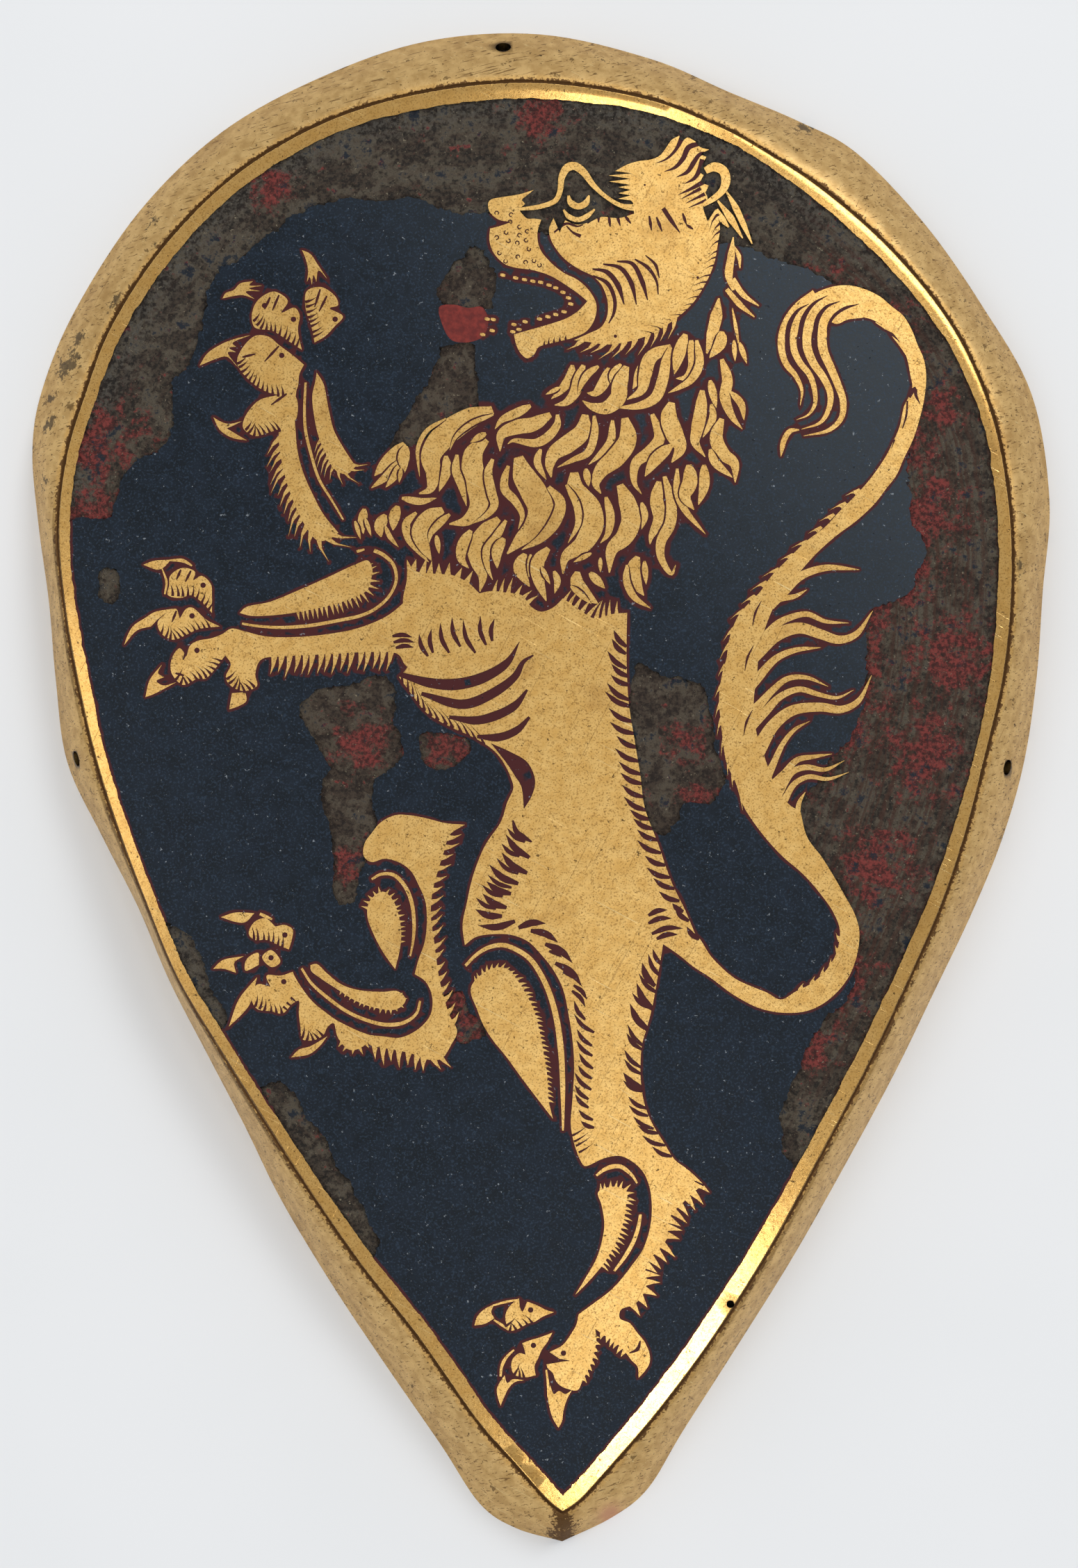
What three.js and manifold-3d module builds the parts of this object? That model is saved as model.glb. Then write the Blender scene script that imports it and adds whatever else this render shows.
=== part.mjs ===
// A heraldic shield of gilded copper, drop-shaped, a little over a hand and a half tall.
// One plate was hammered into a low dome and its rim was turned back to a flat foot. The field was cut down
// around a lion left standing at full height, the hollows were filled with glass enamel and all of it was
// ground level. Some of the enamel has since fallen out, which bares the floor of the hollows.
// The shield lies on its rim with its front up: x runs to its left and right, +y to its round top, and
// z is 0 on the surface that it rests on. All sizes are in millimetres.
import * as THREE from "three";
import { mergeVertices } from "three/addons/utils/BufferGeometryUtils.js";
import Module from "manifold-3d";

const wasm = await Module();
wasm.setup();

// Driving sizes
const CROWN_HEIGHT = 20; // top of the dome above the foot
const PLATE_THICKNESS = 2.4;
const RIM_THICKNESS = 1.8;
const HOLLOW_DEPTH = 1.2; // cut into the plate for the enamel
const ENAMEL_THICKNESS = 0.9;
const FIT_GAP = 0.3; // drawn between enamel and metal
const NAIL_HOLE_RADIUS = 1.4;
const PIN_HOLE_RADIUS = 0.7;
const OUTLINE_STEP = 4.6; // chord length along the figure's outlines
const SPOKE_COUNT = 60; // around the plate, from its point

const GILT = new THREE.MeshStandardMaterial({ color: 0xc9a052, roughness: 0.32, metalness: 1 });
const BLUE_ENAMEL = new THREE.MeshStandardMaterial({ color: 0x1b2a3c, roughness: 0.22, metalness: 0 });
const RED_ENAMEL = new THREE.MeshStandardMaterial({ color: 0x7a2a22, roughness: 0.3, metalness: 0 });

// The dome: a drop of so much over so far from the crown, to each side, to the top and to the point
const DOME = { crownY: 15, sideDrop: 8.5, side: 84, topDrop: 10.5, top: 112, pointDrop: 11, point: 145 };

function faceHeight(x, y) {
  const up = y - DOME.crownY;
  const alongDrop = up > 0 ? DOME.topDrop * (up / DOME.top) ** 2 : DOME.pointDrop * (up / DOME.point) ** 2;
  return CROWN_HEIGHT - DOME.sideDrop * (x / DOME.side) ** 2 - alongDrop;
}

// Stations around the rim, clockwise from the point: the inner edge of the border fillet (x, y), the outer
// edge of the turned-back rim (x, y), and the width of the fillet between them.
const RIM_STATIONS = [
  [4, -127.4, 3.9, -136, 3.2],
  [1.5, -124.5, -4.5, -133.6, 3],
  [-3, -119.5, -11, -129.2, 2.8],
  [-9.5, -112, -18, -118.6, 2.8],
  [-20, -97, -28.5, -103.4, 2.8],
  [-30, -84.5, -37.8, -89.4, 2.7],
  [-39.5, -71, -46.8, -74.4, 2.6],
  [-47.5, -59, -53.4, -61, 2.4],
  [-55.6, -46.4, -60.4, -47.6, 2.3],
  [-63.5, -33.2, -67, -34.8, 2.2],
  [-69.1, -20, -72.6, -21.6, 2.1],
  [-74, -7, -79, -9, 2.1],
  [-78.2, 6, -85.4, 4.6, 2],
  [-81.2, 20, -87.5, 19.6, 2.3],
  [-83.6, 33, -88.7, 33.4, 2.2],
  [-84.7, 46, -90.6, 47.4, 2.2],
  [-83.4, 58.6, -91.7, 61, 2.2],
  [-80, 70, -89.9, 72, 2.3],
  [-74.8, 82.6, -83.9, 86.4, 2.6],
  [-65, 97, -72.3, 104.2, 2.7],
  [-52, 109.3, -57.5, 118.4, 2.8],
  [-36, 118.1, -39.6, 128.3, 2.9],
  [-18, 122.8, -20.4, 134.8, 3.1],
  [0, 124, 0, 136, 3.2],
  [18, 121.8, 19.8, 131.6, 2.6],
  [30, 117.8, 34, 125.6, 2.1],
  [38, 113.8, 46.6, 120.3, 2.1],
  [50, 105.3, 57, 114.6, 2.5],
  [62, 94.3, 69.2, 101.9, 2.7],
  [72.7, 81, 79.8, 86.8, 2.4],
  [79.4, 66, 88.6, 71, 2.2],
  [82, 50, 91.8, 52, 2.5],
  [82.1, 34.5, 90.6, 35.6, 2.8],
  [80.8, 20, 89.5, 20, 2.5],
  [78, 6.2, 87.2, 4.6, 2],
  [74.2, -7, 83.2, -9.4, 2.5],
  [69.6, -20.2, 77.6, -23, 2.7],
  [63.7, -33.5, 71, -36.8, 2.8],
  [56.8, -47.7, 64, -51.2, 3],
  [48.5, -63.5, 55.4, -67.2, 3],
  [38.4, -81.4, 45.2, -85.2, 3.4],
  [28, -97.6, 34.8, -101.8, 3.5],
  [18.4, -110.6, 25.6, -116.2, 3.4],
  [11, -119.6, 19.4, -126.4, 3.1],
  [6.6, -124.6, 13, -131.6, 3.1],
];

// A point of a smooth curve through values, at a place counted in stations. It starts and ends at the first
// value, where the outline has its corner.
function stationValue(column, place) {
  const count = RIM_STATIONS.length;
  const at = (i) => RIM_STATIONS[((i % count) + count) % count][column];
  const i = Math.floor(place);
  const t = place - i;
  const [b, c] = [at(i), at(i + 1)];
  const a = i === 0 ? 2 * b - c : at(i - 1);
  const d = i === count - 1 ? 2 * c - b : at(i + 2);
  return b + 0.5 * t * (c - a + t * (2 * a - 5 * b + 4 * c - d + t * (3 * (b - c) + d - a)));
}

// One spoke of the plate: the field's edge, the bend and the foot, as points in plan, with the outward way
function spokeAt(place) {
  const field = new THREE.Vector2(stationValue(0, place), stationValue(1, place));
  const foot = new THREE.Vector2(stationValue(2, place), stationValue(3, place));
  const outward = foot.clone().sub(field).normalize();
  const bend = field.clone().addScaledVector(outward, stationValue(4, place));
  return { field, bend, foot, outward };
}

const SPOKES = Array.from({ length: SPOKE_COUNT }, (_, i) =>
  spokeAt((i * RIM_STATIONS.length) / SPOKE_COUNT),
);

// A closed body from rings of equal length, a top pole and a bottom pole; the rings run clockwise
// seen from above, from the top pole outwards and round to the bottom pole.
function ringBody(topPole, rings, bottomPole) {
  const count = rings[0].length;
  const position = [topPole, ...rings.flat(), bottomPole].flat();
  const index = [];
  const at = (ring, i) => 1 + ring * count + (i % count);
  const last = rings.length - 1;
  for (let i = 0; i < count; i++) {
    index.push(0, at(0, i + 1), at(0, i));
    for (let ring = 0; ring < last; ring++) {
      index.push(at(ring, i), at(ring, i + 1), at(ring + 1, i));
      index.push(at(ring, i + 1), at(ring + 1, i + 1), at(ring + 1, i));
    }
    index.push(1 + rings.length * count, at(last, i), at(last, i + 1));
  }
  const geometry = new THREE.BufferGeometry();
  geometry.setAttribute("position", new THREE.Float32BufferAttribute(position, 3));
  geometry.setIndex(index);
  return geometry;
}

function solidOf(geometry) {
  const bare = geometry.clone();
  bare.deleteAttribute("normal");
  bare.deleteAttribute("uv");
  const merged = mergeVertices(bare, 1e-4);
  return new wasm.Manifold(
    new wasm.Mesh({
      numProp: 3,
      vertProperties: new Float32Array(merged.attributes.position.array),
      triVerts: new Uint32Array(merged.index.array),
    }),
  );
}

function geometryOf(solid) {
  const mesh = solid.getMesh();
  const geometry = new THREE.BufferGeometry();
  const position = new Float32Array(mesh.numVert * 3);
  for (let i = 0; i < mesh.numVert; i++) {
    position.set(mesh.vertProperties.subarray(i * mesh.numProp, i * mesh.numProp + 3), i * 3);
  }
  geometry.setAttribute("position", new THREE.BufferAttribute(position, 3));
  geometry.setIndex(new THREE.BufferAttribute(mesh.triVerts, 1));
  geometry.computeVertexNormals();
  return geometry;
}

const DOME_CENTRE = new THREE.Vector2(0, DOME.crownY);
const DOME_RINGS = [0.36, 0.7]; // shares of the way from the crown to the field's edge

// Points at a share of the way to each spoke's field edge, drawn in by so much, at a height from the face
function domeRing(share, inset, offset) {
  return SPOKES.map(({ field, outward }) => {
    const edge = field.clone().addScaledVector(outward, -inset);
    const p = DOME_CENTRE.clone().lerp(edge, share);
    return [p.x, p.y, faceHeight(p.x, p.y) + offset];
  });
}

// A layer that follows the dome, between two heights from the face, over the whole field
function domeLayer(top, bottom, inset) {
  const pole = (offset) => [DOME_CENTRE.x, DOME_CENTRE.y, faceHeight(DOME_CENTRE.x, DOME_CENTRE.y) + offset];
  const shares = [...DOME_RINGS, 1];
  const rings = [
    ...shares.map((share) => domeRing(share, inset, top)),
    ...shares.toReversed().map((share) => domeRing(share, inset, bottom)),
  ];
  return solidOf(ringBody(pole(top), rings, pole(bottom)));
}

// The turned-back rim in section: shares of its width and of its drop, a round bend that steepens to the foot
const RIM_PROFILE = [
  [0, 0],
  [0.3, 0.13],
  [0.62, 0.42],
  [1, 1],
];
const INNER_BEND_SETBACK = 2; // the bend's inner corner lies this far in from its outer one
const RIM_SAG = 0.9; // the rim's inner side lies this much lower than its outer side

function rimRing(width, drop) {
  return SPOKES.map(({ bend, foot }) => {
    const p = bend.clone().lerp(foot, width);
    return [p.x, p.y, faceHeight(bend.x, bend.y) * (1 - drop)];
  });
}

function innerRimRing(width, drop) {
  return SPOKES.map(({ bend, foot, outward }) => {
    const p = bend.clone().lerp(foot, width).addScaledVector(outward, -RIM_THICKNESS);
    const z = faceHeight(bend.x, bend.y) * (1 - drop) - RIM_SAG * (1 - drop);
    return [p.x, p.y, z];
  });
}

function innerBendRing() {
  return SPOKES.map(({ bend, outward }) => {
    const p = bend.clone().addScaledVector(outward, -INNER_BEND_SETBACK);
    return [p.x, p.y, faceHeight(p.x, p.y) - PLATE_THICKNESS];
  });
}

function plateBlank() {
  const crown = faceHeight(DOME_CENTRE.x, DOME_CENTRE.y);
  const rings = [
    ...[...DOME_RINGS, 1].map((share) => domeRing(share, 0, 0)),
    ...RIM_PROFILE.map(([width, drop]) => rimRing(width, drop)),
    ...RIM_PROFILE.slice(2)
      .toReversed()
      .map(([width, drop]) => innerRimRing(width, drop)),
    innerBendRing(),
    ...DOME_RINGS.toReversed().map((share) => domeRing(share, 0, -PLATE_THICKNESS)),
  ];
  const centre = [DOME_CENTRE.x, DOME_CENTRE.y];
  return solidOf(ringBody([...centre, crown], rings, [...centre, crown - PLATE_THICKNESS]));
}

// A closed outline through points; a third entry of 1 marks a sharp corner, and the rest is smooth
function outline(points, step = OUTLINE_STEP) {
  const count = points.length;
  const corners = points.flatMap((p, i) => (p[2] ? [i] : []));
  const vector = (i) => new THREE.Vector3(points[i % count][0], points[i % count][1], 0);
  const sampled = [];
  const spans = corners.length ? corners : [0];
  spans.forEach((from, k) => {
    const to = k + 1 < spans.length ? spans[k + 1] : spans[0] + count;
    const run = Array.from({ length: to - from + 1 }, (_, i) => vector(from + i));
    const closed = corners.length === 0;
    const curve = new THREE.CatmullRomCurve3(closed ? run.slice(0, -1) : run, closed, "centripetal");
    const pieces = Math.max(1, Math.round(curve.getLength() / step));
    sampled.push(...curve.getSpacedPoints(pieces).slice(0, -1));
  });
  return sampled.map((p) => new THREE.Vector2(p.x, p.y));
}

// A band carried along a smooth path, given as x, y and width; its ends are cut off flat or run to a point
function band(path, step = OUTLINE_STEP) {
  const middle = new THREE.CatmullRomCurve3(
    path.map(([x, y]) => new THREE.Vector3(x, y, 0)),
    false,
    "centripetal",
  );
  const width = new THREE.CatmullRomCurve3(path.map(([, , w], i) => new THREE.Vector3(i, w, 0)));
  const pieces = Math.max(2, Math.round(middle.getLength() / step));
  const sides = [[], []];
  for (let i = 0; i <= pieces; i++) {
    const t = middle.getUtoTmapping(i / pieces);
    const p = middle.getPoint(t);
    const along = middle.getTangent(t);
    const half = Math.max(width.getPoint(t).y, 0.02) / 2;
    sides[0].push(new THREE.Vector2(p.x - along.y * half, p.y + along.x * half));
    sides[1].unshift(new THREE.Vector2(p.x + along.y * half, p.y - along.x * half));
  }
  return sides.flat();
}

const MITRE_LIMIT = 2; // a sharp corner moves out by at most so many times the distance

// The same outline moved outwards by a small distance, with mitred corners
function grown(points, by) {
  const turn = THREE.ShapeUtils.area(points) > 0 ? 1 : -1;
  const normal = (a, b) => new THREE.Vector2(b.y - a.y, a.x - b.x).normalize().multiplyScalar(turn);
  return points.map((p, i) => {
    const before = points[(i + points.length - 1) % points.length];
    const after = points[(i + 1) % points.length];
    const both = normal(before, p).add(normal(p, after));
    const reach = Math.min(2 / both.length(), MITRE_LIMIT);
    return p.clone().addScaledVector(both.normalize(), reach * by);
  });
}

const PRISM_HEIGHT = 40;

function prism(points) {
  const geometry = new THREE.ExtrudeGeometry(new THREE.Shape(points), {
    depth: PRISM_HEIGHT,
    bevelEnabled: false,
  });
  geometry.translate(0, 0, -PRISM_HEIGHT / 4);
  return solidOf(geometry);
}

function joined(solids) {
  return solids.reduce((sum, next) => sum.add(next));
}

// The lion, rampant, in the metal left standing. Head and mane
const HEAD = [
  [-9.4, 105.4], [-6, 106.5], [-1.2, 107.6, 1], [0, 105], [3.2, 107.2], [4.2, 110.8], [6, 112.4], [8.4, 111],
  [11.5, 107.2], [14, 105.6, 1], [13.2, 111.4, 1], [17, 112.8], [21, 113.2], [25.4, 117.2, 1], [28, 115],
  [31, 112.4], [34, 110], [33.4, 106.6], [38, 98.4, 1], [34.6, 99], [31.6, 94], [28.6, 88.6], [24.6, 83.4],
  [20, 81], [12, 78], [5, 79.2, 1], [-0.6, 79.4], [-2.6, 77.2], [-4.8, 81.2, 1], [2, 83.6], [6, 84.9],
  [8.4, 87.2, 1], [5.4, 90.2], [1.6, 92.6], [-4, 93.3], [-7.6, 95.4], [-9.3, 99.4],
];
const MANE = [
  [-33.6, 49], [-32.6, 45], [-28, 44.4], [-24.4, 41], [-17, 39], [-11, 35, 1], [-6, 37.4], [0.8, 32.6, 1],
  [5, 36.8], [10.6, 32.8, 1], [14.4, 36.6], [19.8, 31.2, 1], [20, 40], [23.6, 37.6, 1], [23.8, 46.4], [29.8, 45.2, 1],
  [29.6, 56], [35, 54.8, 1], [33.4, 62.4], [36.4, 65, 1], [33.6, 75], [38, 85.4, 1], [32, 89], [24, 83], [14, 78],
  [5, 76.2], [0.8, 70.4, 1], [-8.6, 68.6], [-17, 66.6], [-22.8, 61.8], [-25, 61.8], [-30.2, 55.2, 1],
];
// Trunk with the lower foreleg and the standing hind leg
const TRUNK = [
  [-24, 41.5, 1], [-10, 45], [8, 42], [15.2, 33, 1], [15.2, 20], [16.4, 7], [19, -5], [22.6, -15], [25, -24],
  [21.6, -28.2, 1], [20.4, -36], [18.6, -45.5], [17.8, -51], [19.2, -58.5], [22.8, -65], [26.4, -68.8],
  [30.2, -73.2, 1], [29.4, -75.4, 1], [25.4, -78.6], [24.6, -82.8], [20.6, -87.4], [20.6, -92], [19.4, -95.2, 1],
  [14.6, -96.2], [10.2, -98.4], [5.4, -99.4], [6.8, -94.4, 1], [10, -92.4], [13.4, -89.6], [16.6, -85.4],
  [19.2, -80.4], [20, -75], [19, -70], [16.6, -67], [13.6, -66], [9.8, -67.2, 1], [8, -67.9], [5.6, -62.4],
  [6, -54], [5.5, -44], [4.2, -36], [1, -30.2], [-3, -26.6], [-8, -25.4], [-13.3, -27.9, 1], [-13.8, -22],
  [-11.8, -14.4], [-7.6, -5.6], [-4.8, -1], [-6, 4], [-10.8, 8.4], [-18.6, 12], [-25.8, 20.2, 1], [-25.2, 24.4, 1],
  [-34, 24.2], [-44, 22.8], [-50.6, 22, 1], [-55, 24.4], [-55, 28.6], [-50, 27.6], [-42, 27], [-33.4, 28.2],
  [-27, 31.6], [-24.4, 36],
];
const UPPER_FOREARM = [
  [-43.6, 76.2, 1], [-44.3, 69], [-43.4, 61], [-40.6, 52.8], [-36.4, 45.4, 1], [-39.4, 41.4, 1], [-41.8, 46.6],
  [-44.6, 51.4], [-46.2, 56.6], [-49.4, 61.4], [-46.6, 65], [-46.2, 72],
];
const UPPER_FORELEG_MUSCLE = [
  [-40.2, 74.6, 1], [-38.7, 70], [-36.6, 62.8], [-33.4, 57.2, 1], [-35.2, 53.6, 1], [-38.2, 58.6], [-40.2, 65], [-40.7, 70],
];
const LOWER_FORELEG_MUSCLE = [
  [-54.4, 30.8, 1], [-53, 32.4], [-45, 34.8], [-36, 39.4], [-31, 41, 1], [-28.8, 37.6], [-31, 34.6], [-39, 32], [-46, 31.2],
];
const RAISED_HIND_LEG = [
  [-31.6, -13, 1], [-32, -10], [-29.6, -6.2], [-24, -4.7], [-14, -6.8, 1], [-17.6, -11.6], [-19.3, -19], [-18, -28],
  [-16.6, -37], [-15, -43.5], [-18, -50.4, 1], [-22.6, -51, 1], [-29, -49.2], [-36.6, -46.8], [-39, -42],
  [-43, -38.4], [-44.6, -33.4, 1], [-40, -39], [-34, -43], [-28, -44.6], [-22.6, -43.4], [-19.6, -39.4],
  [-20.4, -35.4], [-23, -33.7, 1], [-20.7, -26.6], [-20.9, -19.4], [-24, -14.4], [-28, -12.9],
];
const RAISED_THIGH_MUSCLE = [
  [-31, -19.6], [-30, -26.4], [-26.3, -32.4, 1], [-25.2, -26], [-26.4, -19.2], [-28.6, -18],
];
const RAISED_SHANK_MUSCLE = [
  [-41.6, -32, 1], [-38, -33.8], [-33, -36.2], [-25.2, -36.3, 1], [-23.8, -38.6, 1], [-29, -39.7], [-35, -37.4], [-40, -33.6],
];
const STANDING_THIGH_MUSCLE = [
  [-12.6, -35.4, 1], [-9.8, -32], [-6, -31.8], [-2.8, -35.8], [0, -44.4], [1.6, -53], [2.3, -59.2, 1], [-5, -49],
  [-11, -41.4],
];
const STANDING_SHANK_MUSCLE = [
  [10.3, -71.6, 1], [13, -70.4], [15.7, -72, 1], [14.4, -79], [10.6, -85.6], [6.4, -91, 1], [10, -83.6], [11.1, -76],
];
// The tail as a band: x, y and width from the root to the start of the tuft's strands
const TAIL = [
  [20, -22, 7], [27, -28.6, 5], [34.6, -35.4, 3.6], [43, -38.7, 2.8], [50, -37.2, 3.2], [54.6, -32, 3.6], [55.4, -25, 4],
  [52.6, -18, 4.6], [47.2, -11, 6], [42.4, -3, 9], [38, 7, 12], [35.6, 17, 10], [36.4, 26, 8.4], [39.6, 34.4, 6.8],
  [45.4, 42, 5.2], [52, 49.4, 4.6], [59, 56, 4.2], [64.4, 62, 3.8], [67.4, 69, 3.2], [68, 76, 3.2], [66, 81.6, 3.8],
  [61, 86, 4.6], [55, 87.8, 5.2], [49, 85.6, 6.4], [46.2, 80, 7], [48, 74, 6.6], [50.6, 69, 4.8], [48.4, 64.8, 2.6],
  [43.2, 60, 0.6],
];
// Tufts on the tail, each from its root to its tip, with the bow of its line to the right and its width
const TAIL_TUFTS = [
  [42, 35, 56.6, 39.2, -2, 2.4],
  [38.6, 25, 59.4, 32, 1.4, 3.2],
  [38.8, 8, 59.2, 20.2, -3.4, 3.4],
  [41, -3.6, 54.8, 3, -3, 3],
];
// Toes, each from its root to the tip of its claw, with the toe's width
const TOES = [
  [-40.8, 79.6, -43, 96.8, 5.4], [-44, 78.4, -57.6, 88, 6], [-43.4, 75.6, -61, 76.4, 8], [-44.6, 68.6, -58.8, 66.4, 5.6],
  [-58.8, 31.4, -71.4, 40.2, 6], [-57.4, 29.4, -74.8, 26, 5.4], [-54.8, 27, -71.2, 16.8, 7.4], [-53, 25, -55.8, 13.8, 6],
  [-44.6, -28.6, -57.4, -22.8, 4.4], [-46.4, -31, -58.8, -32.6, 3.6], [-44, -34, -56, -42.6, 7], [-41, -38, -44.6, -48, 5.4],
  [3, -94.6, -11.8, -96.4, 5], [2.2, -97.6, -7.4, -111, 5], [7, -97, 3, -115, 8], [12, -95.6, 17.8, -106.2, 5.6],
];

// A leaf from its root to its tip, widest before its middle, with its line bowed to one side
function leaf(x0, y0, x1, y1, bow, width) {
  const along = new THREE.Vector2(x1 - x0, y1 - y0);
  const side = new THREE.Vector2(along.y, -along.x).normalize();
  const at = (t, w) => {
    const p = new THREE.Vector2(x0, y0).addScaledVector(along, t).addScaledVector(side, 4 * bow * t * (1 - t));
    return [p.x, p.y, w];
  };
  return band([at(0, width * 0.5), at(0.25, width), at(0.6, width * 0.8), at(1, 0.3)]);
}

const FIGURE = [
  ...[HEAD, MANE, TRUNK, UPPER_FOREARM, UPPER_FORELEG_MUSCLE, LOWER_FORELEG_MUSCLE, RAISED_HIND_LEG].map((p) => outline(p)),
  ...[RAISED_THIGH_MUSCLE, RAISED_SHANK_MUSCLE, STANDING_THIGH_MUSCLE, STANDING_SHANK_MUSCLE].map((p) => outline(p)),
  band(TAIL),
  ...TAIL_TUFTS.map((tuft) => leaf(...tuft)),
  ...TOES.map(([x0, y0, x1, y1, width]) => leaf(x0, y0, x1, y1, 0, width)),
];

// Where the enamel has survived, each area drawn wider than itself where metal bounds it
const BLUE_AREAS = {
  blue_enamel_left: [
    [-90, 40, 1], [-76, 51], [-66, 62], [-64.6, 76], [-58, 89], [-46, 99.6], [-35, 106], [-26, 104.6], [-10, 104, 1],
    [-9, 96, 1], [-17.4, 92], [-18, 80, 1], [-18, 74], [-27, 60], [-24, 40], [-24, 26, 1], [-27, 20.4], [-38, 18.6],
    [-43, 14.6], [-40, 6], [-36.6, -10], [-36, -20.6], [-31.6, -21.4], [-34, -30, 1], [-58, -36.6, 1], [-62, -26],
    [-72, -22, 1],
  ],
  blue_enamel_below: [
    [-58, -37, 1], [-36, -34, 1], [-14, -50], [0, -50, 1], [10, -64], [10, -96], [20, -98], [34, -92], [20, -120],
    [4, -130, 1], [-28, -88, 1], [-31.5, -78], [-44, -50, 1],
  ],
  blue_enamel_mouth: [[-8.4, 97, 1], [12, 90, 1], [12, 80], [8, 74], [-2, 72], [-8.8, 76, 1], [-9, 84]],
  blue_enamel_between_mane_and_tail: [
    [16, 26, 1], [30, 26, 1], [40, 42], [70, 78], [52, 92], [44, 91.4], [38, 96, 1], [30, 84], [22, 60], [14, 40],
  ],
  blue_enamel_tail_outside: [
    [46, 42, 1], [64, 58], [68, 46], [70.6, 38], [65, 34.6], [58.6, 28], [57.4, 14], [50, 4.6], [40, 0, 1], [36, 20],
  ],
  blue_enamel_tail_loop: [[24, -14, 1], [36, -2, 1], [56, -20], [57, -34], [40, -40], [26, -32, 1], [20, -24]],
  blue_enamel_right: [
    [20, -28, 1], [36, -42], [50, -40], [44, -56], [40.6, -67], [44, -84, 1], [33, -90], [18.4, -96.2, 1], [16, -88], [16, -50],
  ],
};
const TONGUE = [[-17.2, 86.2], [-16.6, 81.6], [-13.2, 80], [-10.6, 82], [-9.9, 85.6, 1], [-13.6, 86]];

function largest(solid) {
  return solid.decompose().reduce((best, body) => (body.volume() > best.volume() ? body : best));
}

const figure = joined(FIGURE.map(prism));
const roomyFigure = joined(FIGURE.map((points) => prism(grown(points, FIT_GAP))));
const enamelLayer = domeLayer(0, -ENAMEL_THICKNESS, FIT_GAP).subtract(roomyFigure);

// Round holes through the rim for the nails, and one pin hole in the fillet: the place on the rim in
// stations, the share of the rim's width, and the tilt of the hole from upright
const NAIL_HOLES = [
  { station: 22.66, share: 0.72, tilt: 48 },
  { station: 12.02, share: 0.66, tilt: 68 },
  { station: 34.1, share: 0.62, tilt: 60 },
];
const PIN_HOLE = [34.1, -92.8];

function drill(radius, sides, x, y, z, outward, tilt) {
  const cylinder = new THREE.CylinderGeometry(radius, radius, 14, sides);
  cylinder.rotateX(Math.PI / 2);
  cylinder.rotateY((tilt * Math.PI) / 180);
  cylinder.rotateZ(Math.atan2(outward.y, outward.x));
  cylinder.translate(x, y, z);
  return solidOf(cylinder);
}

function nailHole({ station, share, tilt }) {
  const { bend, foot, outward } = spokeAt(station);
  const p = bend.clone().lerp(foot, share);
  const z = faceHeight(bend.x, bend.y) * (1 - share ** 1.8);
  return drill(NAIL_HOLE_RADIUS, 12, p.x, p.y, z, outward, tilt);
}

const [pinX, pinY] = PIN_HOLE;
const plate = plateBlank()
  .subtract(domeLayer(1, -HOLLOW_DEPTH, 0).subtract(figure))
  .subtract(joined(NAIL_HOLES.map(nailHole)))
  .subtract(drill(PIN_HOLE_RADIUS, 8, pinX, pinY, faceHeight(pinX, pinY), new THREE.Vector2(1, 0), 0));

const shield = new THREE.Group();

function addMesh(name, solid, material) {
  const mesh = new THREE.Mesh(geometryOf(solid), material);
  mesh.name = name;
  shield.add(mesh);
}

addMesh("copper_plate", largest(plate), GILT);
for (const [name, area] of Object.entries(BLUE_AREAS)) {
  addMesh(name, largest(enamelLayer.intersect(prism(outline(area, 3)))), BLUE_ENAMEL);
}
addMesh("red_enamel_tongue", largest(enamelLayer.intersect(prism(outline(TONGUE)))), RED_ENAMEL);

export default shield;
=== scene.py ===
import math

import bmesh
import bpy
import numpy as np
from mathutils import Matrix, Vector
from mathutils.geometry import delaunay_2d_cdt


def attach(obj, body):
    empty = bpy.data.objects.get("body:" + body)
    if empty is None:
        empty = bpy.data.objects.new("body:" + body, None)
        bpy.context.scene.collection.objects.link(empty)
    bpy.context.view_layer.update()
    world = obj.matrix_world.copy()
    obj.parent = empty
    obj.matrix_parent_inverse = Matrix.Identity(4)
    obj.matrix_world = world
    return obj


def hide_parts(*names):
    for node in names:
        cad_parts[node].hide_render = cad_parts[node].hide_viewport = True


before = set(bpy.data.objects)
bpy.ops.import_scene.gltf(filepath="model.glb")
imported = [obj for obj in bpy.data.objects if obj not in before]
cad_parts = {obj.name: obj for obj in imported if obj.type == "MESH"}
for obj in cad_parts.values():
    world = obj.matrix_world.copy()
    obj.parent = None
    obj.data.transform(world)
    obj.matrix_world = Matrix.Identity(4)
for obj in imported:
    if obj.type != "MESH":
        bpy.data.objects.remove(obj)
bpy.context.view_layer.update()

# The copper plate
# One sheet of copper was hammered into a low dome, its rim turned back to a flat foot, and all of it
# fire-gilded. The field was cut down around the lion, which was then engraved, and the cuts were filled with
# enamel and ground level. All lengths in this drawing are in millimetres, from the middle of the shield.
CROWN_HEIGHT, CROWN_Y = 20, 15
SIDE_FALL, TOP_FALL, POINT_FALL = 8.5, 10.5, 11  # how far the dome has come down
SIDE_REACH, TOP_REACH, POINT_REACH = 84, 112, 145  # at these distances from the crown
LINE_STEP = 0.5  # spacing of points along the drawn lines


def face_height(x, y):
    """The dome: the crown's height less a fall to each side and a fall up or down, each growing as the square
    of the distance from the crown."""
    up = y - CROWN_Y
    along = np.where(up > 0, TOP_FALL * (up / TOP_REACH) ** 2, POINT_FALL * (up / POINT_REACH) ** 2)
    return CROWN_HEIGHT - SIDE_FALL * (x / SIDE_REACH) ** 2 - along


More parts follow.
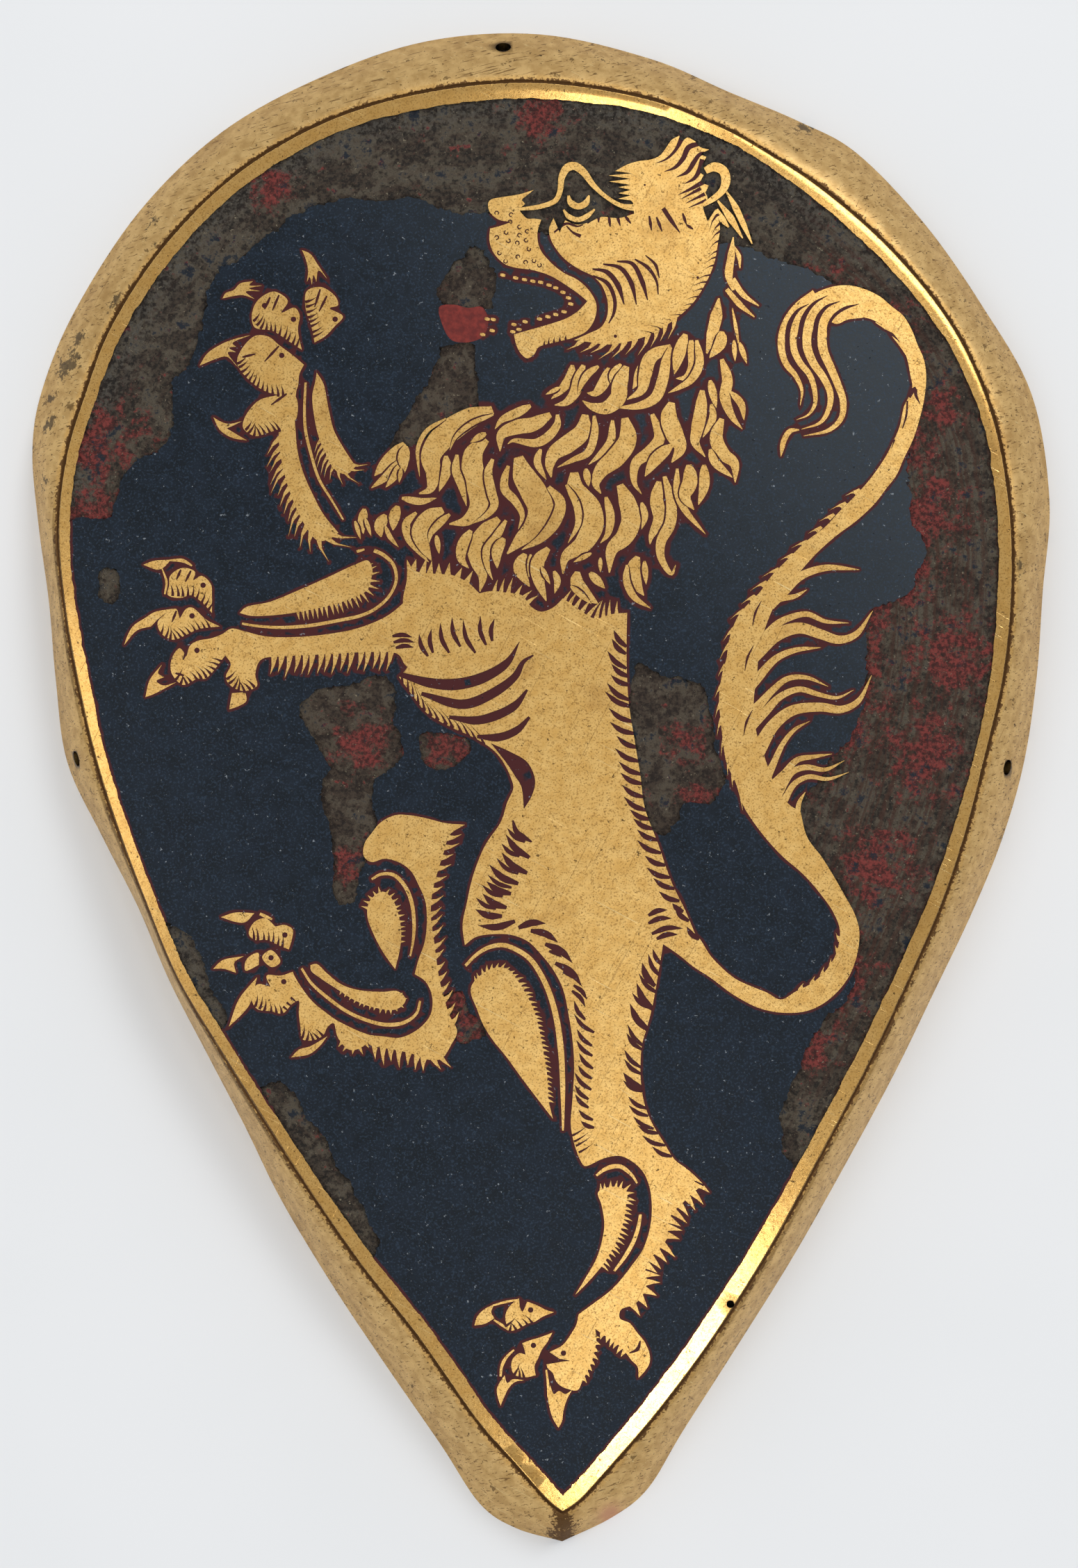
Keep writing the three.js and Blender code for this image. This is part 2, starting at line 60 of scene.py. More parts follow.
def hermite(p, slope, gap, count, closed):
    """Cubic pieces between points with given slopes; count says how many steps each piece is cut into."""
    piece = np.repeat(np.arange(len(count)), count)
    u = (np.arange(count.sum()) - np.repeat(np.cumsum(count) - count, count)) / count[piece]
    u = u[:, None]
    after = (piece + 1) % len(p)
    h = gap[piece][:, None]
    line = (2 * u**3 - 3 * u**2 + 1) * p[piece] + (u**3 - 2 * u**2 + u) * h * slope[piece]
    line += (3 * u**2 - 2 * u**3) * p[after] + (u**3 - u**2) * h * slope[after]
    return line if closed else np.vstack([line, p[-1]])


def curve(points, step=LINE_STEP, closed=False):
    """A centripetal Catmull-Rom curve: knots lie the square root of each chord apart, and the slope at a
    point is the mean of the two chords' slopes, each weighted by the other's knot distance."""
    p = np.array([point[:2] for point in points], float)
    chord = (np.roll(p, -1, axis=0) if closed else p[1:]) - (p if closed else p[:-1])
    length = np.linalg.norm(chord, axis=1)
    gap = np.sqrt(length)
    way = chord / gap[:, None]
    before, gap_before = np.roll(way, 1, axis=0), np.roll(gap, 1)
    both = (gap_before + gap)[:, None]
    slope = (before * gap[:, None] + way * gap_before[:, None]) / both
    if not closed:
        slope = np.vstack([way[:1], slope[1:], way[-1:]])
    count = np.maximum(1, np.ceil(length / step)).astype(int)
    return hermite(p, slope, gap, count, closed)


def outline(*points, step=LINE_STEP):
    """A closed line, smooth except at points that carry a third value, which are corners."""
    corners = [i for i, point in enumerate(points) if len(point) > 2]
    if not corners:
        return curve(points, step, closed=True)
    first = corners[0]
    turned = points[first:] + points[: first + 1]
    stops = [i - first for i in corners] + [len(points)]
    return np.vstack([curve(turned[a : b + 1], step)[:-1] for a, b in zip(stops, stops[1:])])


def stroke(points, *widths):
    """A ribbon: the curve through the points, moved to each side along its normal by half the width there."""
    line = curve(points)
    along = np.gradient(line, axis=0)
    along /= np.linalg.norm(along, axis=1)[:, None]
    normal = np.column_stack([-along[:, 1], along[:, 0]])
    place = np.linspace(0, len(widths) - 1, len(line))
    half = np.interp(place, np.arange(len(widths)), widths)[:, None] / 2
    return np.vstack([line + normal * half, (line - normal * half)[::-1]])


def disc(x, y, radius, sides=10):
    """A small circle: points at equal turns round its middle."""
    turn = np.arange(sides) * 2 * np.pi / sides
    return np.column_stack([x + radius * np.cos(turn), y + radius * np.sin(turn)])


design_rng = np.random.default_rng(11)


def fringe(points, length, spacing, lean=0.0, width=None, side=1, root=0.5):
    """Hairs along a curve: thin spikes, each from a base on the curve to a tip its length to one side and its
    lean further on, with a waist at half height. Length and spacing vary by a fifth."""
    line = curve(points, 0.25)
    reach = np.concatenate([[0], np.cumsum(np.linalg.norm(np.diff(line, axis=0), axis=1))])
    width = width or spacing * 0.8
    count = max(1, int(reach[-1] / spacing))
    places = (np.arange(count) + 0.5 + design_rng.uniform(-0.15, 0.15, count)) * reach[-1] / count
    hairs = []
    for place in places:
        low, mid, high = (
            np.array([np.interp(place + d, reach, line[:, k]) for k in (0, 1)])
            for d in (-width / 2, 0, width / 2)
        )
        along = (high - low) / max(np.linalg.norm(high - low), 1e-6)
        out = np.array([-along[1], along[0]]) * side
        tall = length * design_rng.uniform(0.8, 1.2)
        tip = mid + out * tall + along * lean * tall
        waist = mid + out * tall * 0.45 + along * lean * tall * 0.3
        quarter = along * width * 0.27
        hairs.append(
            np.array([low - out * root, low, waist - quarter, tip, waist + quarter, high, high - out * root])
        )
    return hairs


# The drawing is a pile of shapes, each laid over what is under it: gold is metal left standing, a line is cut
# into gold, a loss is where enamel fell out of the field, and red is what is left of the lion's tongue.
FIELD, LOSS, RED, GOLD, LINE = range(5)
shapes = []


def lay(kind, *drawn):
    """Puts polygons, or lists of them, on top of the pile."""
    for shape in drawn:
        for polygon in shape if isinstance(shape, list) else [shape]:
            shapes.append((kind, polygon))


def gild(*drawn):
    """Metal left standing."""
    lay(GOLD, *drawn)


def engrave(*drawn):
    """Lines cut into the metal."""
    lay(LINE, *drawn)


# Where the enamel has fallen out: along the border from the left over the top and down the right, before the
# mouth, above the mane, under the belly, behind the back, and in two strips low on the left
lay(
    LOSS,
    outline(
        (-92, 46, 1), (-82.4, 48.4), (-78, 49), (-76, 53), (-73, 58.6), (-69, 60.4), (-66.4, 62.6),
        (-66, 67), (-66.2, 72), (-63.6, 75.6), (-61, 82), (-60, 88), (-57.6, 93), (-53, 95.6), (-50, 99),
        (-46.4, 101.4), (-42, 104.2), (-38, 105.4), (-34.4, 106), (-30, 105), (-26, 105.7), (-22, 105.9),
        (-18, 104.2), (-14, 103), (-9.6, 103.4), (-4, 101), (8, 98), (30, 98), (37, 97.4), (42, 95.2),
        (46, 93.6), (50, 92.4), (54, 89), (62, 86), (67.6, 77), (67.8, 69), (66.6, 61.4), (65.6, 57),
        (66.2, 54), (66, 50), (68, 46.4), (69, 42), (67.4, 38.6), (67, 35.6), (64, 33.6), (60, 32.4),
        (58.6, 28), (58.4, 21), (58, 14.4), (56, 11), (54.4, 7.4), (51.4, 4), (49, 0), (46, -3), (48, -12),
        (54, -20), (55.6, -30), (56.4, -34.4), (54.4, -38.4), (50.4, -42), (48.4, -46.4), (46.4, -50.4),
        (44.2, -55.4), (43.2, -60), (44, -66), (46, -69, 1), (104, 0, 1), (100, 150, 1), (-100, 150, 1),
    ),
    outline((-17.8, 90.4), (-15.2, 94.8), (-12.6, 97.4), (-10, 96.4), (-8.6, 92.4), (-8.2, 88.2),
            (-9, 86.2), (-12, 85.6), (-15.2, 86.2), (-18.4, 88)),
    outline((-18, 79.6, 1), (-12, 79.8, 1), (-11.5, 74.6), (-11.2, 68, 1), (-16, 66.4), (-22, 62),
            (-26.6, 60.6), (-24.6, 65.6), (-22.2, 69.6), (-19.6, 75)),
    outline((-43.4, 14.2), (-41, 17), (-36.6, 18.4), (-32, 19.4), (-29.4, 20.6), (-27.6, 19.6), (-25.6, 17),
            (-26, 12), (-24.6, 7), (-26, 4), (-29.6, 1.6), (-30.4, -2), (-29.4, -7), (-31.4, -13),
            (-33.2, -17.4), (-33.4, -20.4), (-36.4, -20.6), (-37.2, -14), (-38.2, -7), (-39.4, -1),
            (-38.2, 4), (-40.4, 8)),
    outline((-21.6, 9.4), (-17, 9.8), (-13, 8.4), (-13.6, 5.4), (-17, 3.4), (-20.6, 4.6)),
    outline((17, 21.6), (21, 20.6), (26, 19.4), (29, 17.6), (30.6, 13), (31.4, 7), (33, 1), (30.4, -2.4),
            (26, -3), (24.4, -6), (21, -8.6), (18, -6), (17, 4), (16, 14)),
    outline((-79, 39.6), (-76.4, 39), (-75.6, 35.4), (-77, 33), (-79.2, 34.4)),
    outline((-70, -23, 1), (-64.4, -25.4), (-61.4, -29), (-60.4, -33.4), (-58.4, -37), (-56.6, -41.4),
            (-58.6, -46, 1)),
    outline((-50, -54, 1), (-46.4, -52.8), (-44.2, -55), (-42.4, -58.6), (-39, -62.6), (-36.2, -67.6),
            (-33, -73), (-31, -77.6), (-29, -82), (-30, -85), (-34, -86, 1)),
    outline((-18.4, -37.6), (-14.4, -37), (-12.8, -40), (-10, -43.4), (-13.2, -46), (-16.2, -44.6)),
)
lay(
    RED,
    outline((-18.2, 86.4), (-17.6, 83), (-16, 80.4), (-13, 80), (-10.4, 81), (-9.4, 83.2), (-9.6, 85),
            (-10.6, 86.4), (-13, 86.2), (-15.6, 86.8)),
)

# The lion's head, a piece of metal in two parts: the muzzle and lower jaw, then the cheek, brow and skull
# behind a deep line. Hairs stand along its crown, cheek and throat.
gild(
    outline(
        (-9.4, 105.2), (-8.8, 105.8), (-6.8, 106.2), (-3.8, 106.7), (-1.2, 107.5, 1), (-2.6, 106.4),
        (-3.4, 105.6), (-2.8, 105), (-3.8, 104), (-3.2, 103), (-2.4, 102.3), (-1.2, 102.3), (0.1, 102.1, 1),
        (-0.6, 99.6), (-0.1, 96.8), (1.7, 94.5), (4, 92.6), (6.7, 91.2), (8.8, 89.2), (10, 86.7), (9.6, 84),
        (8.1, 81.9), (5.2, 80.6, 1), (2.6, 80), (-0.4, 79.1), (-1.2, 77.8), (-2.4, 77.1), (-3.5, 77.9),
        (-4.4, 79.6), (-4.8, 81.4, 1), (-2.1, 82.2), (1.7, 83.3), (4.8, 84.4), (6.8, 85.7), (8.4, 87.4, 1),
        (6.7, 88.8), (4.4, 90.4), (1.7, 92), (-1.4, 93), (-4.8, 93.5), (-6.6, 94.2), (-8.5, 96.2),
        (-9.2, 98.4), (-9.1, 100.5, 1), (-7.2, 101), (-5.2, 101.7, 1), (-7.5, 102.1), (-9.2, 103.6),
    ),
    outline(
        (2.3, 102.4, 1), (1.5, 100.4), (1.9, 98.4), (2.8, 96.8), (4.2, 95.1), (6.7, 93.3), (9.4, 92, 1),
        (11, 90.2), (12, 87.4), (11.9, 84.6), (10.8, 82.7), (8.4, 81.5), (6, 80.4, 1), (9, 80), (12, 79.6),
        (16, 80.2), (20, 81.6), (24.4, 84.4), (27.4, 87.2), (29.8, 91), (31.2, 94.4), (31.8, 97.6),
        (32.2, 101), (31.4, 104, 1), (30, 101.8, 1), (29.2, 104.6), (30, 106), (29.6, 107, 1),
        (30.2, 108.3, 1), (28.8, 109), (29.3, 110.2, 1), (28.6, 110.8), (29.2, 112.4), (29.8, 113.5, 1),
        (28.8, 114), (30.3, 114.8, 1), (28.6, 115.3), (27.8, 116.3, 1), (26.4, 117), (25.5, 116.4),
        (24.9, 117.3, 1), (23.6, 116.6), (22.4, 114.9), (21.4, 113.7), (19.8, 113), (17.6, 112.7),
        (15.6, 112.1), (13.4, 110.9, 1), (16.4, 110.5, 1), (12.2, 110.1, 1), (16.2, 109.5, 1),
        (12.3, 109, 1), (16.2, 108.4, 1), (14, 108, 1), (16.2, 107.5, 1), (14, 106.9, 1), (16.2, 106.5, 1),
        (13.9, 105.9, 1), (16.2, 105.6, 1), (16.6, 105.2, 1), (16.8, 103.2, 1), (14, 102.4), (11, 102.6),
        (8.6, 101.6), (6.4, 101.2), (4.4, 102, 1), (3.4, 99.8, 1),
    ),
    stroke([(-3.8, 104), (0, 104.5), (2.7, 105.6), (3.5, 107.4), (3.8, 109.8), (4.8, 111.5), (6.1, 111.8),
            (7.6, 110.8), (9.5, 108.3), (11.8, 106.2), (14.6, 104.6), (16.8, 104.3)],
           0.5, 0.8, 0.9, 0.9, 1.1, 1.5, 1.4, 1.1, 0.8, 0.7, 0.8, 1.2),
    stroke([(5, 106.5), (5.3, 105.3), (6.7, 104.5), (8.1, 105.1), (8.7, 106.5)], 0.4, 1.2, 1.1, 1.2, 0.3),
    stroke([(4.1, 103.9), (5, 102.7), (6.7, 102.1), (8.4, 102.8), (9.7, 104)], 0.3, 0.9, 0.9, 0.9, 0.3),
)
engrave(
    stroke([(20.7, 112.3), (22.6, 113.1), (24.3, 114.8), (25.5, 117.1)], 0.1, 0.4, 0.6, 1),
    stroke([(22.2, 110.8), (24.2, 111.6), (25.6, 113.2), (26.6, 115.2), (28.6, 115.9)],
           0.1, 0.6, 0.9, 1, 0.8),
    stroke([(24.4, 109.8), (26.4, 110.8), (27.6, 112.6), (28.7, 114), (30.2, 114.1)],
           0.1, 0.7, 0.9, 0.7, 0.6),
    stroke([(25.8, 108.6), (27.6, 109.6), (28.6, 111.2), (29.2, 113)], 0.1, 0.6, 0.9, 1.2),
    stroke([(24.7, 106.6), (26.8, 107.6), (28.8, 108.7), (29.8, 109.3)], 0.1, 0.5, 0.8, 1),
    stroke([(25.3, 105.9), (28.8, 107.8)], 0.1, 0.7), stroke([(26.1, 105.1), (29.5, 106.8)], 0.1, 0.7),
    stroke([(26.6, 104.3), (29.8, 105.7)], 0.1, 0.6),
    stroke([(2.4, 99.8), (4.6, 101.4), (6.6, 100.9), (7.6, 101.2)], 0.3, 0.5, 0.4, 0.2),
    stroke([(4.6, 101), (5.8, 99.8), (7.2, 99.1)], 0.2, 0.4, 0.7),
)
gild(
    stroke([(29.6, 111), (31.2, 111.7), (32.8, 111), (33.3, 109.3), (32.8, 107.6), (31.4, 106.2),
            (29.2, 104.8)],
           1.2, 1.7, 1.7, 1.6, 1.2, 1, 0.7),
    stroke([(33.4, 107.2), (34.8, 104.8), (36.4, 101.4), (38, 97.8)], 0.3, 1.2, 1, 0.2),
    stroke([(31.8, 105.6), (34, 102.6), (36.3, 98.8)], 0.3, 1.4, 0.2),
    stroke([(31.6, 104), (32.8, 102), (33.8, 100.8)], 0.6, 1.2, 0.3),
    stroke([(34.6, 99), (34.2, 95.4), (33.8, 92), (34.6, 89.4)], 0.2, 1.3, 1.5, 0.5),
    stroke([(34.6, 97.6), (35.6, 95.6), (35.8, 93.4)], 0.2, 0.8, 0.2),
    stroke([(34.4, 91.4), (36.4, 88.6), (39.2, 86.6)], 1.2, 1, 0.2),
    stroke([(33.4, 89.6), (35.8, 86.8), (38.4, 84.6)], 0.8, 1.1, 0.2),
    stroke([(32, 88), (31.6, 85), (30.8, 81.6), (29.8, 78)], 0.3, 2.2, 2, 0.3),
    stroke([(34.4, 86.2), (35, 83), (35.6, 79.4)], 0.2, 0.7, 0.2),
)
engrave(
    stroke([(9.3, 93.2), (11.8, 92.7), (13.8, 90.4), (15, 86.8)], 0.3, 0.9, 1, 0.2),
    stroke([(11.2, 94.1), (14.3, 93.4), (16.2, 90.8), (17.2, 86.8)], 0.3, 0.8, 0.9, 0.2),
    stroke([(13.7, 94.6), (16.4, 94.2), (18.2, 91), (19.2, 87.6)], 0.3, 0.8, 0.9, 0.2),
    stroke([(16.9, 95), (19.3, 93.4), (20.8, 91), (21.1, 88.6)], 0.3, 0.7, 0.5, 0.2),
    stroke([(18.8, 95.7), (20.6, 94), (21.3, 91.6)], 0.2, 0.6, 0.2),
    stroke([(9.4, 92), (12, 90.6), (13.3, 87.6), (13.1, 85.2), (12.2, 83.4)], 0.3, 0.8, 0.7, 0.6, 0.2),
    *(stroke([a, b], 0.3, 0.6, 0.2) for a, b in [
        ((19.5, 102.8), (19.9, 100.2)), ((20.8, 102.6), (21.8, 100)), ((25.5, 103.3), (26.2, 101.2)),
        ((26.2, 101.2), (27.4, 100.4)), ((10.4, 103.6), (10.4, 101.6)), ((12.2, 103), (12.5, 100.8)),
        ((13.6, 103.2), (14.3, 101)), ((15, 103), (16.2, 101.4)), ((9.4, 102.6), (8.4, 101.4)),
    ]),
    stroke([(22, 104.2), (23.3, 102.2), (25, 99.8)], 0.8, 0.8, 0.2),
    fringe([(30.6, 105), (32.2, 101), (32, 96), (30, 90.6), (26, 84.6), (20, 81)], 2.2, 1.5, 0.9, 0.5, -1),
    fringe([(0, 79.4), (5, 80.8)], 0.9, 0.9, 0.5, 0.4),
)
gild(fringe([(6.4, 80.2), (9.4, 79.8), (14, 79.6), (19, 81), (25, 84.6)], 2.2, 1.9, -1.3, 1.1, -1))

# Teeth, as a row of small dots along each jaw, and the rings that the whiskers grow from
upper_teeth = [(-6.8, 92.1), (-4.5, 91.6), (-2.9, 91.3), (-1.4, 91), (0, 90.8), (1.5, 90.3), (2.7, 89.8),
               (4, 89), (5, 88), (5.4, 86.9)]
lower_teeth = [(4.2, 85.5), (2.7, 85), (1.3, 84.6), (-0.2, 84.2), (-2.8, 83.7), (-4.8, 83.2), (-3.9, 82.3),
               (-5, 81.9)]
lost_teeth = [(-8.5, 84.1), (-9.6, 84.2), (-8.7, 82.1), (-10.4, 81.4)]
TOOTH_REACH, TOOTH_SLANT = 0.45, 0.1
for x, y in upper_teeth + lower_teeth + lost_teeth:
    ends = [(x - TOOTH_REACH, y + TOOTH_SLANT), (x + TOOTH_REACH, y - TOOTH_SLANT)]
    gild(stroke(ends, 0.4, 0.6, 0.4))
whisker_rings = [(-7.9, 103.3), (-5.3, 103), (-5.5, 101.7), (-3.8, 100.8), (-2.4, 100), (-3.8, 99.3),
                 (-6.2, 99.8), (-7.9, 98.9), (-5.8, 98.3), (-4.2, 97.9), (-2.6, 98.4), (-2.1, 96.8),
                 (-7.4, 96.1), (-4.1, 95.4), (-2.7, 94.4), (-1.2, 94.7), (-0.2, 93.9), (-6.3, 94.6)]
RING_RADIUS, RING_TURN = 0.36, 4.9  # a ring is not quite closed
for x, y in whisker_rings:
    start = design_rng.uniform(0, 6)
    turn = start + np.linspace(0, RING_TURN, 6)
    ring = np.column_stack([x + RING_RADIUS * np.cos(turn), y + RING_RADIUS * np.sin(turn)])
    engrave(stroke(ring, 0.18, 0.26, 0.18))
for x, y, radius in [(13.4, 81.1, 0.32), (28.2, 91.7, 0.25), (18.7, 108.4, 0.2)]:
    engrave(disc(x, y, radius))

# The mane: rows of curved locks, each left standing with a thin gap of enamel round it. A lock is its
# width and the line that it follows from root to tip.
LOCK_TAPER = np.array([0.35, 0.85, 1, 1, 0.8, 0.5, 0.06])
FULLER, GAP_WIDTH, EDGE_WIDTH = 1.12, 0.85, 0.2  # a share of the lock's width, then millimetres
locks = [
    (2, [(-24.4, 61.8), (-26.4, 59.6), (-28.4, 57.6), (-29.8, 56)]),
    (1.1, [(-25.6, 58.6), (-27.6, 56), (-30.4, 53.8)]), (1, [(-25.4, 58), (-26.2, 56), (-27.8, 53.9)]),
    (1.7, [(-24.2, 61.4), (-24.6, 59), (-24.4, 56.6)]), (0.5, [(-25, 57.4), (-25.4, 54.8)]),
    (3.6, [(-8.6, 67.8), (-13, 66.2), (-17.5, 63), (-19.7, 59.5), (-19.3, 56.5), (-19.8, 53.6),
           (-21.8, 52.8)]),
    (0.55, [(-17, 66.3), (-20.5, 64), (-22, 61), (-22, 58.5), (-21.7, 55.8)]),
    (0.65, [(-8.5, 67), (-12.5, 65.3), (-15.3, 62.9), (-16.3, 60.6)]),
    (1.4, [(-17, 59.6), (-16.9, 57), (-18.2, 53.2)]),
    (3.4, [(-9.8, 62.6), (-12, 60), (-12.2, 57), (-11.2, 53.5), (-11.2, 50.5), (-13.2, 48), (-16.4, 47.3)]),
    (0.9, [(-9.8, 63.6), (-11, 63), (-12.6, 62)]),
    (1.2, [(-15, 59.8), (-15.2, 57), (-14.3, 54.5), (-13.3, 50.6)]),
    (1.3, [(-8.6, 59), (-9.4, 56.6), (-8.8, 53), (-8.3, 50.7), (-9.7, 48.9), (-12.3, 47.4)]),
    (1.3, [(-1.8, 68.6), (-4.5, 67.2), (-7, 66), (-8.2, 64.4)]),
    (2.2, [(1.8, 67), (-1.5, 65.2), (-4, 64.8), (-7, 63.4), (-7.3, 60.4)]),
    (1.3, [(3, 67), (3, 65.3), (1.4, 63.1), (-0.8, 61.9), (-5, 62.3), (-5.9, 61.7)]),
    (1, [(-24.9, 52), (-21.5, 51.4), (-18.7, 52)]), (1.3, [(-31.6, 50.1), (-32, 47.5), (-31.8, 45.6)]),
    (0.5, [(-33.3, 47.9), (-32.3, 44.6)]), (0.5, [(-31.5, 48.4), (-30.4, 45.2)]),
    (1.7, [(-27.8, 49), (-28.9, 46.8), (-28.6, 45)]), (0.6, [(-27.9, 47), (-27, 45), (-25.5, 43.2)]),
    (1.6, [(-25.6, 50.6), (-26.2, 48.8), (-26.5, 46.2)]),
    (1.2, [(-22.3, 49.4), (-24.1, 47.4), (-23.6, 44.8), (-22.1, 42.8), (-20.1, 40.5)]),
    (2.6, [(-17.5, 49.9), (-20, 48.5), (-21.6, 46), (-21, 43.5), (-19.6, 40.8)]),
    (1, [(-16.3, 49.1), (-18.2, 47.4), (-19.7, 45.6), (-20, 44)]), (0.7, [(-18.7, 45.3), (-18.2, 42)]),
    (2.5, [(-7.5, 48.3), (-10, 46), (-11.6, 43), (-11.3, 40.5), (-10.4, 38), (-10.9, 35.2)]),
    (1.6, [(-12.5, 46.2), (-14, 43.5), (-14.2, 41), (-12.9, 39.4)]),
    (1.2, [(-6.2, 48), (-8, 45), (-9.7, 42.5), (-9.5, 39.5), (-8.6, 37.3)]),
    (1.6, [(-6.6, 44.8), (-7.8, 42.5), (-7.8, 39.4)]),
    (4, [(-4, 59.4), (-3, 56), (-1.5, 53.5), (0, 50), (-1.2, 46.8), (-3.5, 44.6), (-6, 42)]),
    (1.2, [(-5.8, 57.8), (-6.5, 55.3), (-6.4, 53.5), (-4.6, 51.5), (-3.3, 48.9), (-4, 46.4)]),
    (1.7, [(1.4, 54), (3.5, 51.2), (2.7, 48), (0.1, 44.8), (-3.4, 42.7)]),
    (1.4, [(5.7, 75.9), (5.3, 73.7), (3.7, 71.4), (1.9, 69.8)]),
    (1.6, [(7.7, 75.9), (6.7, 73), (6.2, 71.1), (4.6, 69.2), (2.5, 68.7)]),
    (1, [(10.4, 75.7), (8.5, 74.3), (7.3, 72.4), (6.7, 70.5)]), (0.5, [(3.5, 71.9), (0.9, 70.6)]),
    (1.6, [(12.3, 75.4), (11.3, 72.7), (9.7, 70.8), (8.3, 70.9)]),
    (1, [(14.4, 76.1), (12.9, 74), (13.3, 71.4)]),
    (2.4, [(15.4, 75.7), (14.2, 72.4), (13.9, 70.1), (11.7, 68.2), (9.1, 68.5), (7.5, 69.5)]),
    (1, [(17.8, 75.9), (17.1, 72.7), (16.5, 71.6)]),
    (2, [(23.4, 79.3), (19.7, 77.2), (18.7, 74), (18.1, 71.4), (15.5, 69.7)]),
    (1.6, [(23.2, 79), (22.6, 77.2), (21.9, 73.3), (20.6, 70.1), (18.1, 68.7), (13.6, 68.2)]),
    (1.8, [(26, 81.5), (24.8, 77.8), (24, 74.3)]),
    (1.6, [(27, 80.4), (27.4, 75.6), (26.1, 73.7), (24.3, 73.5)]),
    (1.2, [(28, 80.4), (28.5, 76.2), (27, 73.3), (24.5, 71.7), (22.9, 70.9)]),
    (1.7, [(32.5, 82), (32.3, 80), (30.3, 77.2)]), (0.6, [(34.7, 80.4), (34.9, 76.6)]),
    (0.7, [(35.7, 80), (37, 76.2)]),
    (2.7, [(8, 67), (7.5, 64), (5, 61.8), (2.4, 60), (1.6, 57.8), (1.9, 55.7)]),
    (1.1, [(9.6, 66.8), (9.7, 63.7), (8.5, 60.2), (5.9, 58.9), (3, 57.5)]),
    (1.1, [(12.9, 66), (12.5, 62.1), (10.4, 59.6), (8.6, 58)]),
    (2.9, [(15.1, 66.4), (15.6, 62.5), (13.5, 59.3), (10.9, 57), (9.9, 54.5), (10.8, 52.8)]),
    (1, [(8.1, 57.3), (8.6, 54.1)]),
    (1.7, [(20, 67.1), (21.3, 62.8), (19.4, 60.2), (17.1, 58.3), (16.8, 54.8), (18.1, 52.7)]),
    (2.7, [(23.5, 69.2), (23, 66.5), (24, 63.5), (25, 61), (23.5, 58.4)]),
    (1.8, [(23.5, 61.5), (20.6, 58.9), (18.7, 55.9)]),
    (1.9, [(29, 71.4), (28.7, 67.6), (28, 64), (27.7, 62.1), (29.5, 59.4)]),
    (1.1, [(30.4, 73.2), (31.5, 68.2)]), (1, [(30.6, 68.9), (30.9, 66.6), (29.1, 62.9)]),
    (1.6, [(32.5, 77), (33.5, 73.3), (33.1, 70.1), (34.4, 66.6), (36.2, 64.4)]),
    (1, [(34.1, 71.1), (36, 68.9), (36.5, 66)]),
    (2, [(32.5, 66.3), (31.5, 62.8), (32.8, 59.9), (34.7, 58.3), (34.9, 54.8)]),
    (1.2, [(30.4, 60.8), (31.2, 58.6), (34.4, 55.7)]), (1, [(0, 60.8), (-0.6, 58.5), (1, 55.3)]),
    (3.5, [(6, 56.6), (6.3, 53.5), (8.8, 50), (9.2, 47), (7.6, 43.8), (4.4, 41.3), (4, 38.4)]),
    (1, [(4.6, 54.4), (6.5, 50.6), (6.7, 47.4), (4.9, 43.9)]),
    (1.2, [(11.7, 52.2), (12.5, 48.7), (12, 45.5), (10.7, 43.9)]), (0.6, [(9.1, 42.1), (5.9, 40.5)]),
    (2.9, [(14.2, 54.4), (15.6, 51), (16.2, 48), (15, 45), (12.8, 42.8), (12.3, 38.6)]),
    (0.9, [(18.1, 51.2), (18.7, 48.7), (18.1, 46.4)]),
    (2, [(21.2, 55), (20.8, 51.5), (21.3, 48.5), (19.8, 45), (19.6, 43.7)]),
    (1.6, [(22.2, 55.9), (23.4, 51.2), (23.2, 47.4), (21.6, 44.2), (21.6, 41.3), (23.5, 38.4), (24.2, 40)]),
    (1, [(24.5, 57.3), (24.5, 53.2), (25.8, 50), (29.6, 45.5)]),
    (2.2, [(26.6, 58), (26.8, 55), (25.9, 52.3), (27.5, 49.9)]),
    (1.5, [(29.3, 58), (29.3, 54.1), (28.3, 50.8)]), (1.8, [(-2.8, 42), (-3.8, 39.5), (-2, 36.1)]),
    (0.7, [(-1.8, 41.9), (-2.1, 37.8)]), (2, [(1.4, 43), (-0.5, 40.5), (-0.4, 37.5), (1, 33.5)]),
    (0.6, [(0.1, 39.7), (1.7, 36.5)]), (0.9, [(2.4, 38.9), (3, 37.1), (2.5, 34.9)]),
    (2, [(6.6, 38.8), (6.5, 36.8), (8.2, 34.6), (10.3, 33)]), (1.2, [(8.8, 38.6), (11.5, 35.8)]),
    (0.8, [(5.4, 36.2), (9.1, 33)]), (2, [(17.4, 41.5), (16.6, 39), (17.5, 36), (18.5, 34.5)]),
    (1, [(15.5, 40), (15.4, 37.1), (16.8, 34.2), (19.7, 32.2)]), (0.8, [(18.6, 40.7), (18.9, 36.5)]),
    (0.5, [(10.7, 41.3), (10.7, 38.7)]),
]
for width, line in locks:
    engrave(stroke(line, *(LOCK_TAPER * (width * FULLER + GAP_WIDTH))))
    gild(stroke(line, *(LOCK_TAPER * (width * FULLER + EDGE_WIDTH))))

